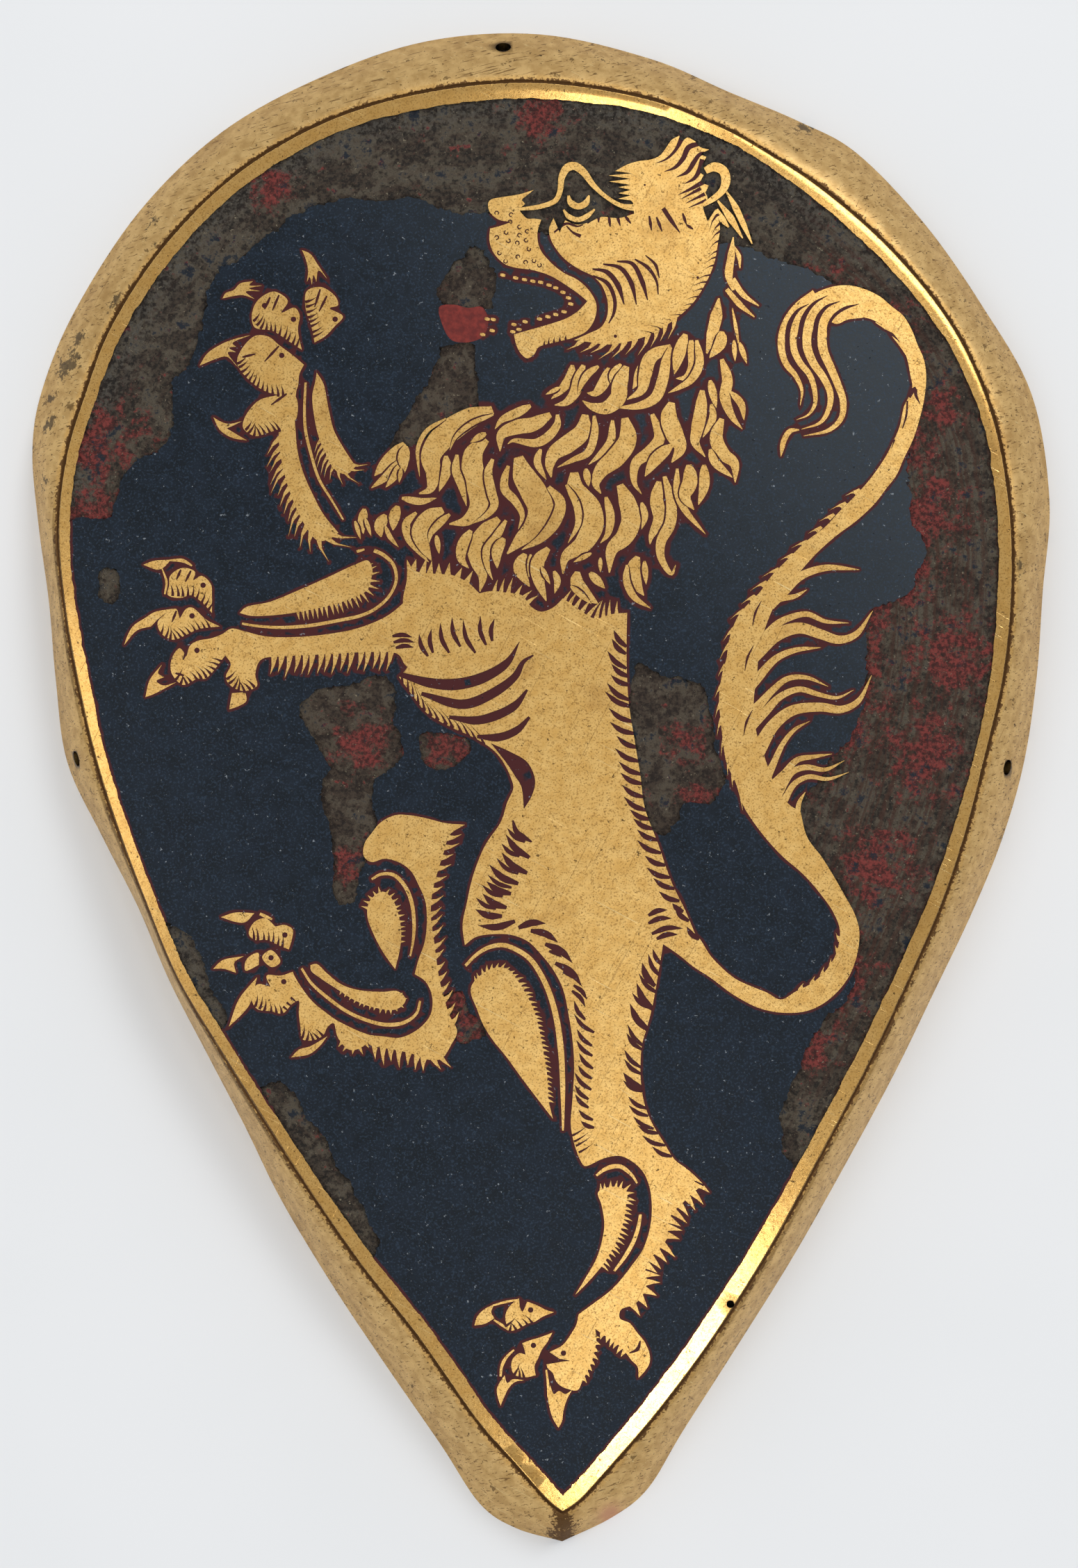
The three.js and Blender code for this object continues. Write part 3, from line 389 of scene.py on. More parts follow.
# The two raised forelegs. Each has its toes and claws, the arm with a row of hairs, a thin line beside
# it, and a slim muscle that stands apart.
gild(
    outline((-42.9, 96.7, 1), (-41.4, 96), (-40.2, 94.3), (-38.3, 91.4, 1), (-39.9, 93), (-40.3, 90.9, 1),
            (-40.8, 92.2), (-41.1, 90.4, 1), (-41.5, 91.8), (-42, 90.9, 1), (-41.8, 93), (-42.2, 95)),
    outline((-42, 89.3), (-39.4, 90), (-36.8, 88.2), (-36.4, 86.7), (-37.9, 86.2), (-35.5, 84.7),
            (-37, 82.9), (-38.6, 81.2), (-40.6, 80, 1), (-41.2, 82.9), (-42.2, 86.1)),
    outline((-57.2, 88, 1), (-56.6, 89), (-55.2, 89.5), (-54, 90.7), (-51.7, 91.1, 1), (-52.4, 90.4),
            (-50, 90.3, 1), (-52.4, 89.8), (-50.4, 89.3, 1), (-53, 89.2), (-51.4, 87.9, 1), (-53.6, 88.6),
            (-55.4, 88.4)),
    outline((-51.1, 87.3), (-49.3, 88.8), (-47.7, 89.2), (-45.4, 87.5), (-46.6, 85.4), (-44.2, 86.3),
            (-43.3, 85), (-43.6, 82.4), (-42.9, 78.7, 1), (-45.3, 80.3), (-48.1, 82.1), (-51.4, 82.8),
            (-51.9, 85)),
    outline((-61.3, 75.9, 1), (-60, 78), (-57.7, 79.6), (-55.3, 80.6), (-52.1, 81.4, 1), (-55.4, 79.9),
            (-54.7, 79.3, 1), (-56, 79.1), (-54.7, 78.3, 1), (-56.2, 78.3), (-54.4, 75.6, 1), (-56.4, 77.5),
            (-58.1, 77.2)),
    outline((-54.1, 78.2), (-54.5, 76.2), (-52.5, 73.4), (-49.3, 71.2), (-45.7, 70.6), (-43.8, 71.6),
            (-43.3, 74.4), (-42.5, 76, 1), (-44.6, 77.8), (-46.9, 79.5), (-48.9, 81.1), (-51.4, 81.2)),
    outline((-50.9, 69.4), (-48.5, 70.3), (-44.1, 70.4), (-44, 66), (-46.1, 64.8), (-48.9, 63.8),
            (-51.3, 63.2), (-53.4, 64.6), (-53.2, 66.4)),
    outline((-58.8, 66.6, 1), (-57.4, 65.8), (-56, 65.4), (-53.6, 65.9, 1), (-55.4, 65), (-56.4, 64.6, 1),
            (-54.4, 63.4), (-52.7, 62.4, 1), (-55.4, 62.9), (-57.6, 64.3)),
    outline((-43.7, 72.4, 1), (-44.2, 68.2), (-44, 64.2), (-43.6, 60.3), (-42.5, 56.3), (-40.7, 52.3),
            (-38.9, 49), (-36.3, 45.8, 1), (-38, 44.6), (-40, 44.4), (-41.8, 46.4), (-44, 50.6),
            (-45.6, 55), (-46.6, 59.4), (-47, 64), (-46, 68)),
    fringe([(-36.8, 46), (-39, 44.6), (-41.2, 45.6), (-43.6, 50.2), (-45.4, 55), (-46.6, 60),
            (-47.2, 63.4)], 3, 1.5, -1, 1.1),
    stroke([(-42.2, 72.8), (-42.4, 68.2), (-42.2, 64.2), (-41.2, 59.9), (-39.8, 55.5), (-37.4, 51.5),
            (-35.4, 48.1)], 0.4, 0.55, 0.5, 0.3),
    outline((-40.2, 74.6, 1), (-39, 72.6), (-38.1, 68.2), (-37.1, 64.2), (-35.3, 60.9), (-33.2, 57.7, 1),
            (-34.6, 56.4), (-36.2, 56.6), (-37.4, 57.7), (-38.6, 60.1), (-39.8, 62.9), (-40.6, 66.4),
            (-41, 70.4), (-40.5, 72.8)),
    fringe([(-33.4, 58.4), (-35, 56.8), (-36.6, 57), (-38.2, 59.4), (-39.8, 63)], 2.3, 1, -0.9, 0.7),
    outline((-71.4, 40.1, 1), (-69.5, 40.8), (-66.4, 41, 1), (-67.6, 39.7), (-68.7, 39.2)),
    stroke([(-68, 39.4), (-67.2, 37), (-67.5, 34.8)], 0.2, 0.45, 0.3),
    stroke([(-66.6, 40.9), (-64.2, 40.8), (-62.6, 39.9)], 0.3, 0.7, 0.3),
    outline((-66.6, 38), (-64.8, 39.4), (-63.1, 39.4), (-62, 38.7), (-62.4, 37.3), (-60.9, 38.1),
            (-59.2, 36.6), (-59, 34.4), (-59, 31.4, 1), (-61, 33.5), (-62.8, 34.6), (-64.8, 34.1),
            (-67, 34.7), (-66.7, 36.4)),
    outline((-74.8, 25.7, 1), (-74.3, 27.2), (-73.2, 29.1), (-71.1, 30.5), (-69.3, 31.6), (-66, 32.2, 1),
            (-68.4, 30.6), (-70, 29, 1), (-72.5, 28.3)),
    outline((-68.8, 29.7), (-67.6, 31.1), (-65.5, 32.2), (-64.8, 30.4, 1), (-63.6, 32.2), (-62.6, 32.4),
            (-60, 30.2), (-57.6, 29, 1), (-61.4, 28.5), (-64.2, 27.2), (-65.9, 26.6), (-68, 27.6)),
    outline((-71, 16.3, 1), (-70.2, 19.4), (-68, 22.2, 1), (-68.7, 20.6), (-67.6, 19.9, 1), (-69, 19.2),
            (-67.8, 18.4), (-65.4, 19, 1), (-68, 17.6), (-69.6, 16.8)),
    outline(
        (-66.2, 23.3), (-64.8, 25.1), (-63.6, 23.6, 1), (-62.9, 25.6), (-61.6, 26.4), (-59, 26.9),
        (-57.2, 27.6), (-55.5, 28.6), (-53.1, 28.1), (-49.3, 27.2), (-43.4, 27.1), (-38.2, 27.6),
        (-33, 28.6), (-27.8, 30.7), (-24.7, 33.1), (-22, 36, 1), (-20, 21, 1), (-24, 21.8), (-25.6, 24),
        (-30, 24.4), (-38, 24), (-46, 23.6), (-50.2, 23), (-51.2, 20.4), (-50.9, 18.3), (-53.4, 17.4),
        (-55.9, 18.6), (-56.5, 20), (-55.6, 22.2), (-56.6, 23.8, 1), (-59, 20.7), (-60.2, 19.6),
        (-61.6, 19.6), (-64.2, 18.5), (-66.3, 20.7),
    ),
    fringe([(-26, 24.2), (-32, 24), (-40, 23.6), (-48.6, 23.2)], 3.1, 1.35, 0.3, 1),
    outline((-55.4, 17, 1), (-53, 17.2, 1), (-52.8, 15.6), (-54.4, 14.6), (-55.9, 14.1, 1)),
    stroke([(-53.6, 29.5), (-51.2, 29.1), (-46.8, 28.8), (-41.7, 29.1), (-36.5, 30), (-32, 31),
            (-29.4, 32.3), (-27.1, 34.5), (-25.9, 37.3), (-26.4, 40), (-28.2, 41.8), (-29.9, 42.6)], 0.4,
            0.6, 0.6, 0.5, 0.7),
    stroke([(-33, 42.4), (-31.6, 42.8)], 0.5, 0.5, 0.3),
    outline((-54, 31.4, 1), (-53, 32.4), (-48.6, 33.4), (-43.4, 35.5), (-38.2, 37.8), (-33, 40.2),
            (-31, 40.8), (-30.2, 39.4), (-30.4, 37.4), (-31, 35.6), (-33, 34.4), (-36.5, 33.1),
            (-41.7, 31.9), (-46.8, 31.1), (-52, 30.9)),
    fringe([(-31.6, 40.2), (-30.8, 37.6), (-31.4, 35.6), (-36, 33.2), (-44, 31.6)], 1.9, 0.85, 0, 0.6, 1),
)
JOINT_RADIUS = 0.5
joints = [
    (-36.9, 84.2), (-44.4, 84.2), (-49.6, 86.7), (-46.5, 77.7), (-60.6, 36.4), (-62.6, 30.9), (-61.7, 24.7),
]
engrave(*(disc(x, y, JOINT_RADIUS) for x, y in joints))
engrave(
    *(stroke([a, b], 0.3, 0.5, 0.2) for a, b in [
        ((-39.6, 89.6), (-40.6, 86.4)), ((-38.4, 88.4), (-39.8, 85.6)), ((-47, 88.6), (-48.2, 85.8)),
        ((-48.6, 88.2), (-49.6, 86)), ((-47, 79.4), (-49.6, 76.6)), ((-53.6, 77.4), (-51.2, 78)),
        ((-45.6, 70.8), (-48.4, 68.8)), ((-62.8, 39), (-63.8, 37)), ((-64.6, 39.2), (-65.4, 37.4)),
        ((-65.4, 31.8), (-66.2, 29.8)), ((-63.4, 25), (-64.2, 23)), ((-65.6, 20.6), (-64, 20.2)),
    ]),
)

# The trunk and the standing leg in one piece of metal, then the raised hind leg with its foot, each with
# hairs along its edges and muscles that stand apart.
gild(
    outline(
        (-24, 41, 1), (-22.6, 39), (-19, 38.4), (-16, 38.2), (-13, 36.8), (-11, 34.9, 1), (-8.9, 35.3),
        (-6, 35), (-3.5, 34.6), (-1.6, 32.4), (0.1, 31.6), (2.3, 32.4), (4, 34, 1), (7, 31.9), (9.6, 30.4),
        (13, 31.2), (15.5, 31.4, 1), (15.4, 26.2), (15.4, 22.6), (15.7, 16.1), (16.1, 12.9), (16.6, 10),
        (17.3, 5.7), (17.9, 2.1), (18.6, -3.3), (21, -9.9), (23.6, -17.2), (25.7, -21.5), (27.8, -26.4, 1),
        (22, -27.8, 1), (21.1, -33.3), (20.1, -38.9), (19.1, -42.9), (18.2, -46), (17.9, -49.6), (18, -53),
        (18.7, -57), (20.1, -60.4), (22.1, -63.7), (24.1, -66.8), (25.8, -68.1), (27.5, -69.5),
        (29.3, -71.3, 1), (27.4, -72.6), (25.4, -74.6), (23.6, -76.4), (22.8, -78.4), (22.8, -80.6),
        (21.4, -82.8), (19.6, -84.6), (18.8, -86.6), (19, -89), (18.4, -91), (16.8, -92.8), (14.4, -93.8),
        (14.2, -95.3), (16, -96.2), (17.4, -98), (18.7, -99.6), (19.6, -102), (19.5, -103.6), (18.6, -105),
        (17.6, -106.1, 1), (17.4, -104), (16.4, -103), (15.2, -101.4), (13.4, -99.6), (11.4, -98.4),
        (9.8, -97.2, 1), (10, -99), (9.6, -101.6), (8.8, -104), (7.6, -106.4), (6.6, -108.3), (5, -108.1),
        (3.6, -107.5), (2.6, -106.4), (2.2, -105.2), (1.2, -104.2), (1, -103, 1), (3.8, -102.9, 1),
        (1.6, -101.4, 1), (4, -100.1), (5.4, -98.2), (6.4, -96.5), (6.8, -94.6, 1), (10.1, -92.2),
        (12.2, -90.6), (14.2, -88.6), (16.2, -86), (18.2, -83.2), (19.4, -80), (19.9, -77), (19.9, -74),
        (19.4, -71.2), (18.4, -69), (16.6, -67.2), (14.4, -66.1), (12.5, -66.2), (10.6, -66.8),
        (9.2, -67.5), (7.9, -67.9), (7, -66.6), (6.2, -64.5), (5.6, -62), (5.4, -60.1), (5.7, -55.9),
        (6, -50.8), (5.8, -46), (5.1, -41.2), (4, -36.1), (2.3, -32.7), (0.1, -29.9), (-2.2, -27.6),
        (-4.7, -26.5), (-7, -26.2), (-11.5, -26.7), (-13.6, -28.2, 1), (-14, -24.6), (-13.2, -20.4),
        (-12.1, -15.7), (-10, -10.4), (-7.1, -6), (-6, -2.6), (-4.9, 0), (-5.3, 1.7), (-6.7, 4.6),
        (-8.3, 6.6), (-10.5, 8.2), (-13.2, 9.6), (-15.7, 10.7), (-18.2, 12), (-20.4, 13.4), (-23, 16.6),
        (-25.4, 19.9, 1), (-24, 21.5), (-22.8, 26), (-24.7, 33.1), (-24, 37.4),
    ),
    fringe([(-23.6, 39.6), (-20, 38.6), (-16, 38.2), (-12.8, 36.6)], 2.2, 1.5, 0, 1.1),
    fringe([(-9, 35.2), (-4, 34.6), (-1.8, 32.8)], 2.4, 1.2, 0.2, 0.8),
    fringe([(3.4, 33.4), (7.4, 31.8), (9.8, 30.6), (14.4, 31)], 2.8, 1.2, 0.2, 0.8),
    fringe([(28.6, -70.6), (27.4, -72.6), (24.6, -75.2), (23, -78), (22.6, -81), (20.4, -84), (18.8, -86.4),
            (18.8, -90.4), (16, -93.2)],
           2.7, 1.55, 0.15, 1.3),
    fringe([(9.7, -98), (9.9, -100), (9, -103.6), (7.4, -106.6)], 0.9, 1.1, 0.5, 0.8),
    fringe([(15.4, -101.6), (13, -99.4), (10.6, -98)], 1.2, 1, -0.2, 0.8),
    outline((-13.6, -6.6, 1), (-17.1, -6.3), (-20.3, -5.5), (-23.5, -4.9), (-26.1, -4.9), (-28.7, -6.2),
            (-30.3, -8.1), (-31.6, -10), (-31.7, -12.3), (-30.3, -13.3), (-28, -12.7), (-25.1, -13.5),
            (-23.2, -15), (-21.9, -17.4), (-20.7, -20.3), (-20.4, -23.8), (-20.8, -27.6), (-21.9, -30.8),
            (-22.6, -33.4, 1), (-20.7, -34.7), (-19.5, -37.3), (-19.7, -40.5), (-21.6, -43), (-25.1, -44.8),
            (-28.3, -44.6), (-31.2, -44.3, 1), (-30.8, -46), (-27.4, -46.8), (-23.4, -47.6), (-20, -48.8),
            (-17.8, -48.6), (-16, -46), (-15, -43.7), (-16.5, -40.5), (-17.4, -37.3), (-18.1, -34.7),
            (-18.7, -30.8), (-19.1, -27.6), (-19.7, -22.8), (-19.4, -18.7), (-18.4, -14.8), (-17.4, -11.6),
            (-16.3, -8.4)),
    fringe([(-16.2, -8), (-17.4, -11.6), (-18.4, -14.8), (-19.4, -18.7), (-19.7, -22.8), (-19.1, -27.6),
            (-18.1, -34.7), (-16.5, -40.5), (-15.4, -43)], 1.9, 1.9, -0.7, 1.1),
    fringe([(-17.4, -47.6), (-20, -48.8), (-24, -47.6), (-30.6, -46.2)], 2.6, 1.4, -0.25, 1.1),
    stroke([(-30.3, -16.4), (-28.7, -15.5), (-26.4, -15.6), (-24.5, -17.4), (-23.2, -20.3), (-22.7, -24.4),
            (-22.9, -27.6), (-23.4, -30.2)],
           0.4, 0.7, 0.7, 0.6, 0.3),
    outline((-28.3, -18.6), (-30.6, -20.2), (-31.1, -22.8), (-29.9, -26.4), (-28, -29.9), (-26.1, -32.5, 1),
            (-25.3, -29.2), (-25, -26), (-25.5, -22.8), (-26.6, -20)),
    fringe([(-31, -22), (-30.2, -20), (-28.3, -19), (-26.8, -20.4), (-25.8, -23), (-25.4, -28)],
           1.3, 0.85, 0, 0.6),
    outline((-41.3, -31.8, 1), (-40.2, -31.6), (-38.3, -33.3), (-35.7, -35.3), (-32.5, -36.3),
            (-28.3, -36.6), (-25.6, -36.5), (-24.2, -38), (-25.8, -39.7), (-29.9, -39.4), (-33.2, -38.2),
            (-36.4, -36.2), (-39.6, -34.1), (-41.2, -32.8)),
    fringe([(-25.6, -36.8), (-24.8, -38.2), (-26.4, -39.6), (-31, -38.8), (-36, -36.2)], 0.9, 0.9, 0, 0.6),
    stroke([(-42.9, -32.4), (-41.2, -35), (-38.3, -37.6), (-34.8, -40.1), (-31.2, -41.7), (-27.7, -42.5),
            (-24.5, -42.1), (-22.3, -40.5), (-21.6, -38.2)], 0.4, 0.6, 0.6, 0.7, 0.4),
    outline((-46.6, -33.7), (-44.5, -33, 1), (-44.1, -33.9), (-42.8, -36), (-40.8, -38.5), (-38.3, -40.5),
            (-37.1, -41.4), (-33, -43.5), (-30, -44.6, 1), (-31.6, -46.2), (-33.2, -47), (-34.6, -46.9),
            (-36.4, -44.8), (-37.2, -42.2), (-38.3, -43), (-39, -44.4), (-40.8, -45.3), (-42.8, -45.1),
            (-43.1, -43), (-43.4, -40.5), (-43.4, -38.2), (-44.6, -38.8), (-46.3, -40.5), (-48.5, -40.1),
            (-50.9, -39.7), (-51.9, -37.9), (-50.9, -35.3), (-48.5, -35.7, 1), (-49.2, -33.7)),
    fringe([(-31, -45.4), (-33.4, -46.6), (-36, -45)], 1.4, 1.1, 0, 0.8),
    outline((-50.9, -34, 1), (-52.7, -36), (-54.3, -38.2), (-56, -42.9, 1), (-53.6, -40.6), (-52.2, -38.8)),
    outline((-38.3, -44.6, 1), (-39.6, -46.3), (-41.5, -47.8), (-44.8, -48.4, 1), (-43.4, -47),
            (-41.4, -46.4)),
    outline((-57.4, -23.2, 1), (-54.9, -22.4), (-51.4, -22.5, 1), (-53, -24.1), (-54.6, -24.1)),
    stroke([(-50.4, -22.6), (-48.2, -23.6)], 0.5, 0.6, 0.3),
    outline((-51.4, -24.1), (-49.4, -23.4), (-47.6, -24.9, 1), (-45.9, -24.6), (-44.5, -25.4), (-44.6, -27),
            (-45.2, -29, 1), (-46.9, -28.3), (-49.2, -27.3), (-51.4, -27.3), (-52.4, -26.2)),
    outline((-58.8, -32.5, 1), (-57.2, -31), (-53.3, -30.2, 1), (-55, -31.4), (-54.7, -33.2, 1),
            (-56.9, -32.5)),
    outline((-53, -32.8), (-52.8, -30.8), (-50.7, -29.6), (-50.6, -31.8, 1)),
    outline((-50, -30.4), (-48.4, -29.1), (-46.7, -31.2), (-48.2, -32.2)),
    stroke([(-13.5, -31.9), (-11.5, -29.9), (-9.3, -28.6), (-6.7, -28.2), (-4.2, -29.1), (-1.9, -30.7),
            (0.1, -33.6), (1.7, -37.2), (2.9, -41.7), (3.6, -46.8), (3.9, -51.6), (4, -57.3), (4, -61.5)],
            0.5, 0.8, 0.9, 1, 1.1, 0.9, 0.3),
    outline((-12.4, -35.5), (-10.9, -33.7), (-8.7, -32.4), (-6.1, -32.4), (-4.1, -34.6), (-2.7, -36.9),
            (-1.3, -39.7), (-0.4, -42.9), (0.5, -47.4), (1.2, -51.9), (1.4, -55.9), (2.2, -59.4, 1),
            (-0.5, -55.9), (-3.3, -52.2), (-6.2, -48.2), (-8.7, -45.1), (-10.4, -42.3), (-11.5, -39.5),
            (-12.5, -36.9)),
    fringe([(-12, -35), (-9.6, -32.8), (-6.8, -32.4), (-4, -34.6), (-1.4, -39.6), (0, -45), (0.9, -51),
            (1.4, -56.6)], 1, 0.9, 0.5, 0.6),
    outline((10.3, -72.6), (10.9, -74.8), (11.3, -77), (11.4, -79), (10.7, -82.6), (9.8, -85), (8.2, -87.8),
            (6.2, -91.1, 1), (8.4, -88.9), (11.2, -85.6), (13.3, -82), (14.7, -78.4), (15.3, -75),
            (15.4, -72.4), (13, -71.6)),
    fringe([(10.4, -72.4), (13, -71.8), (15.4, -72.4), (15.2, -76), (13.6, -81.6), (10.8, -86)],
           1.4, 0.85, 0.2, 0.6),
    stroke([(10, -69.6), (11.3, -68.6), (12.8, -68), (14.4, -68), (15.6, -68.8), (16.6, -69.8),
            (17.3, -71)], 0.4, 0.8, 0.7, 0.3),
    stroke([(17.9, -76.6), (17.6, -78.6), (16.7, -81.4), (15, -84.4), (13.2, -86.8)], 0.5, 0.7, 0.7, 0.4),
    outline((-11.9, -96.6, 1), (-11.4, -95), (-10, -93.6), (-8.5, -93), (-8.9, -94.2), (-8.3, -95.3, 1),
            (-10, -96.3)),
    stroke([(-8.6, -93), (-6, -92.3), (-4.2, -92)], 0.3, 0.45, 0.3),
    stroke([(-8.4, -95.6), (-7, -96.5), (-5.6, -97.5)], 0.3, 0.5, 0.3),
    outline((-6.3, -94.6), (-5.6, -93.2), (-4.6, -92.2), (-3.9, -91.7, 1), (-3.7, -93.4), (-3.3, -94.1),
            (-2.4, -92.3, 1), (-0.6, -93), (1, -93.8), (2.4, -94.2, 1), (0.2, -95.1), (-1, -95.9),
            (-2.4, -96.3), (-4, -97.2), (-5.5, -97.5), (-6.2, -96.2)),
    outline((2.1, -97.9, 1), (0, -98.7), (-2, -99.3), (-3.3, -99.8, 1), (-2.9, -101), (-2.7, -101.9, 1),
            (-3.8, -101.6), (-5, -102.6), (-5.3, -103.8), (-4.8, -105.4), (-3, -106), (-0.9, -105.6, 1),
            (-1.1, -104), (-0.4, -102.4), (0.2, -101), (1.2, -99.6)),
    stroke([(-4.8, -101), (-6.2, -102.4), (-7, -104), (-7.2, -105.8)], 0.3, 0.6, 0.4),
    outline((-6.5, -105.6, 1), (-7.4, -107), (-7.9, -108.2), (-7.7, -109.6), (-7.2, -111.1, 1),
            (-6.5, -109.4), (-5.8, -108), (-4.6, -106.8), (-3, -106.5, 1), (-5, -106.3), (-6, -107)),
    stroke([(1, -104.6), (1.3, -107), (1.4, -109.6)], 0.3, 0.45, 0.4),
    outline((1.7, -107.4, 1), (2.4, -109), (3.3, -108.4), (4.4, -109), (5.6, -108.3, 1), (4.7, -110),
            (4.1, -112), (3.8, -114), (3.2, -115.1, 1), (2.2, -113.4), (1.5, -111), (1.3, -109.2)),
)
joints = [
    (-46.1, -34.8), (-45.9, -26.4), (-48.4, -30.5), (-1.8, -93.8), (-1.3, -100.2), (4.1, -101.6),
]
engrave(*(disc(x, y, JOINT_RADIUS) for x, y in joints))

# Short hairs cut into the edges of the pads
pad_edges = [
    [(-41.9, 88), (-41.3, 84), (-40.6, 80.6)], [(-51.6, 84.6), (-50, 82.8), (-47, 81.6), (-43.4, 79.2)],
    [(-54.3, 77), (-52.5, 73.4), (-49.3, 71.2), (-45.7, 70.6)],
    [(-53, 65), (-51.3, 63.4), (-48.9, 63.8), (-46.4, 64.6)],
    [(-66.4, 35), (-63, 34.6), (-60.8, 33.3), (-59.3, 31.8)],
    [(-68.4, 28), (-65.9, 26.7), (-62.4, 28), (-58.8, 28.8)],
    [(-65.6, 20), (-64.2, 18.8), (-61.6, 19.7), (-59, 20.8), (-57, 23.2)],
    [(-56.2, 20.2), (-55, 18.2), (-53.4, 17.5), (-51.2, 18.6)],
    [(-52, -26.8), (-49.2, -27.3), (-45.8, -28.6)], [(-51.6, -38.6), (-48.5, -40.1), (-46, -40.3)],
    [(-43, -44.4), (-41, -45.2), (-38.8, -44.2)],
    [(-6.2, -96.2), (-5.5, -97.4), (-4, -97.1), (-1, -95.9)], [(-5, -105), (-4, -105.8), (-2.4, -105.9)],
]
for edge in pad_edges:
    engrave(fringe(edge, 1.9, 0.9, -0.35, 0.5))

# Ribs under the arm, the hollow of the belly, and small cuts at the joints
engrave(
    stroke([(-25.4, 20.4), (-19.6, 18.8), (-15, 18.6), (-10.3, 19.8), (-6, 22.5), (-3.8, 26.2)],
           0.8, 1.7, 2.1, 2, 1.5, 0.1),
    stroke([(-21.4, 16.9), (-13.9, 15), (-8.9, 16.8), (-4.6, 20), (-3.1, 22.6), (-1.3, 23.8)],
           0.7, 1.6, 1.8, 1.7, 1.2, 0.3),
    stroke([(-16.4, 12.7), (-11.7, 12.1), (-8.2, 12.9), (-4.6, 14.8), (-2.4, 17.6)],
           0.6, 1.5, 1.7, 1.5, 0.4),
    stroke([(-11.4, 9.2), (-7.4, 9.1), (-4.2, 10.4), (-2, 12.7)], 0.6, 1.5, 1.4, 0.5),
    outline((-8.9, 8, 1), (-5.3, 6.4), (-2.4, 4.6), (-1, 1.4), (-1.5, -1.2), (-3, -3.8, 1), (-3.5, 0.3),
            (-4.6, 2.1), (-5.8, 4)),
    fringe([(7.4, -65.6), (5.8, -61.8)], 2.6, 1, 0.2, 0.4, -1),
    fringe([(-25.2, 19.6), (-20.4, 13.8), (-15.6, 11), (-9.6, 7.8)], 1.9, 1.45, -2.2, 0.8, 1),
    stroke([(-5, -5.8), (-4.3, -7.9), (-1.6, -9.7)], 0.3, 0.9, 1.1, 0.3),
    fringe([(-44.2, -37.6), (-46.2, -40)], 1.2, 0.8, 0, 0.4, 1),
    stroke([(29.3, -71.4), (27.6, -70.6)], 0.4, 0.2),
    stroke([(17.9, -99.4), (17.4, -100.9), (15.9, -101.6)], 0.3, 0.7, 0.2),
    stroke([(5.2, -103), (3.8, -102.9), (0.8, -103.2)], 0.1, 0.7, 0.9),
)

# The tail: one tapering band of metal, its curled tip split into strands, with tufts of long hairs down its
# outer side. A hair is its width and its line from root to tip.
gild(
    outline(
        (20, -24, 1), (27.6, -26.2), (30.7, -30.4), (34.7, -34.1), (37.8, -35.6), (40.5, -36.7),
        (43.1, -38), (45.7, -36.6), (48.9, -34.9), (51.5, -32.4), (53.1, -29.6), (53.7, -25.6),
        (52.6, -22.5), (50.5, -19.4), (47.3, -15.7), (43.1, -12), (39.4, -7.8), (36.3, -3.1), (35, 0.8),
        (33.3, 4.6), (32.7, 8.4), (32.3, 11.8), (32, 16.4), (32.5, 20.2), (33.3, 23.2), (33.9, 27),
        (35.4, 30.8), (37.1, 32.9), (39.2, 35), (41.4, 38), (44.3, 41), (47.7, 44.3), (51.1, 46.9),
        (53.6, 49.6), (56.8, 52.8), (59.4, 55.8), (62, 59.6), (63.4, 62.4), (64.5, 65), (65.3, 68.6),
        (66.2, 70.4), (66.8, 72.2), (66.5, 73.9), (65.9, 77), (64.9, 79.6), (63.1, 82), (61.1, 83.4),
        (59, 84.4), (55.9, 84.6), (53.2, 83.4), (51, 84.4), (47.4, 85.6), (46.4, 87, 1), (48.8, 88.6),
        (50.8, 89.6), (53.4, 90.3), (55.9, 90.3), (58.5, 89.6), (61.1, 88.3), (63.1, 86.6), (65.2, 84.9),
        (66.7, 82.4), (67.8, 79.6), (68.9, 77), (69.3, 73.9), (69, 70.4), (68.4, 67.5), (67, 62.9),
        (65.2, 59.1), (63.9, 56.2), (62, 53.7), (60, 51.1), (56.6, 47.9), (53.2, 45.4), (49.8, 42.4),
        (47.3, 39.7), (45.4, 37.4, 1), (42.6, 34), (40.6, 29.6), (39.2, 25), (38.8, 20.4), (38.2, 15.4),
        (38.6, 10.4), (40.2, 5.4), (42, 0.6), (44.6, -3), (46.6, -4.2, 1), (47.8, -8.8), (50.5, -12.5),
        (52.8, -16.2), (54.6, -19.4), (56.3, -22.5), (57.2, -25.7), (56.8, -29.9), (55.2, -34.1),
        (52, -37.8), (48.3, -39.9), (44.1, -40.4), (39.4, -39.6), (34.7, -37.2), (30.5, -34.1), (27.3, -32),
        (24.7, -29.9), (21.6, -27.8, 1),
    ),
)
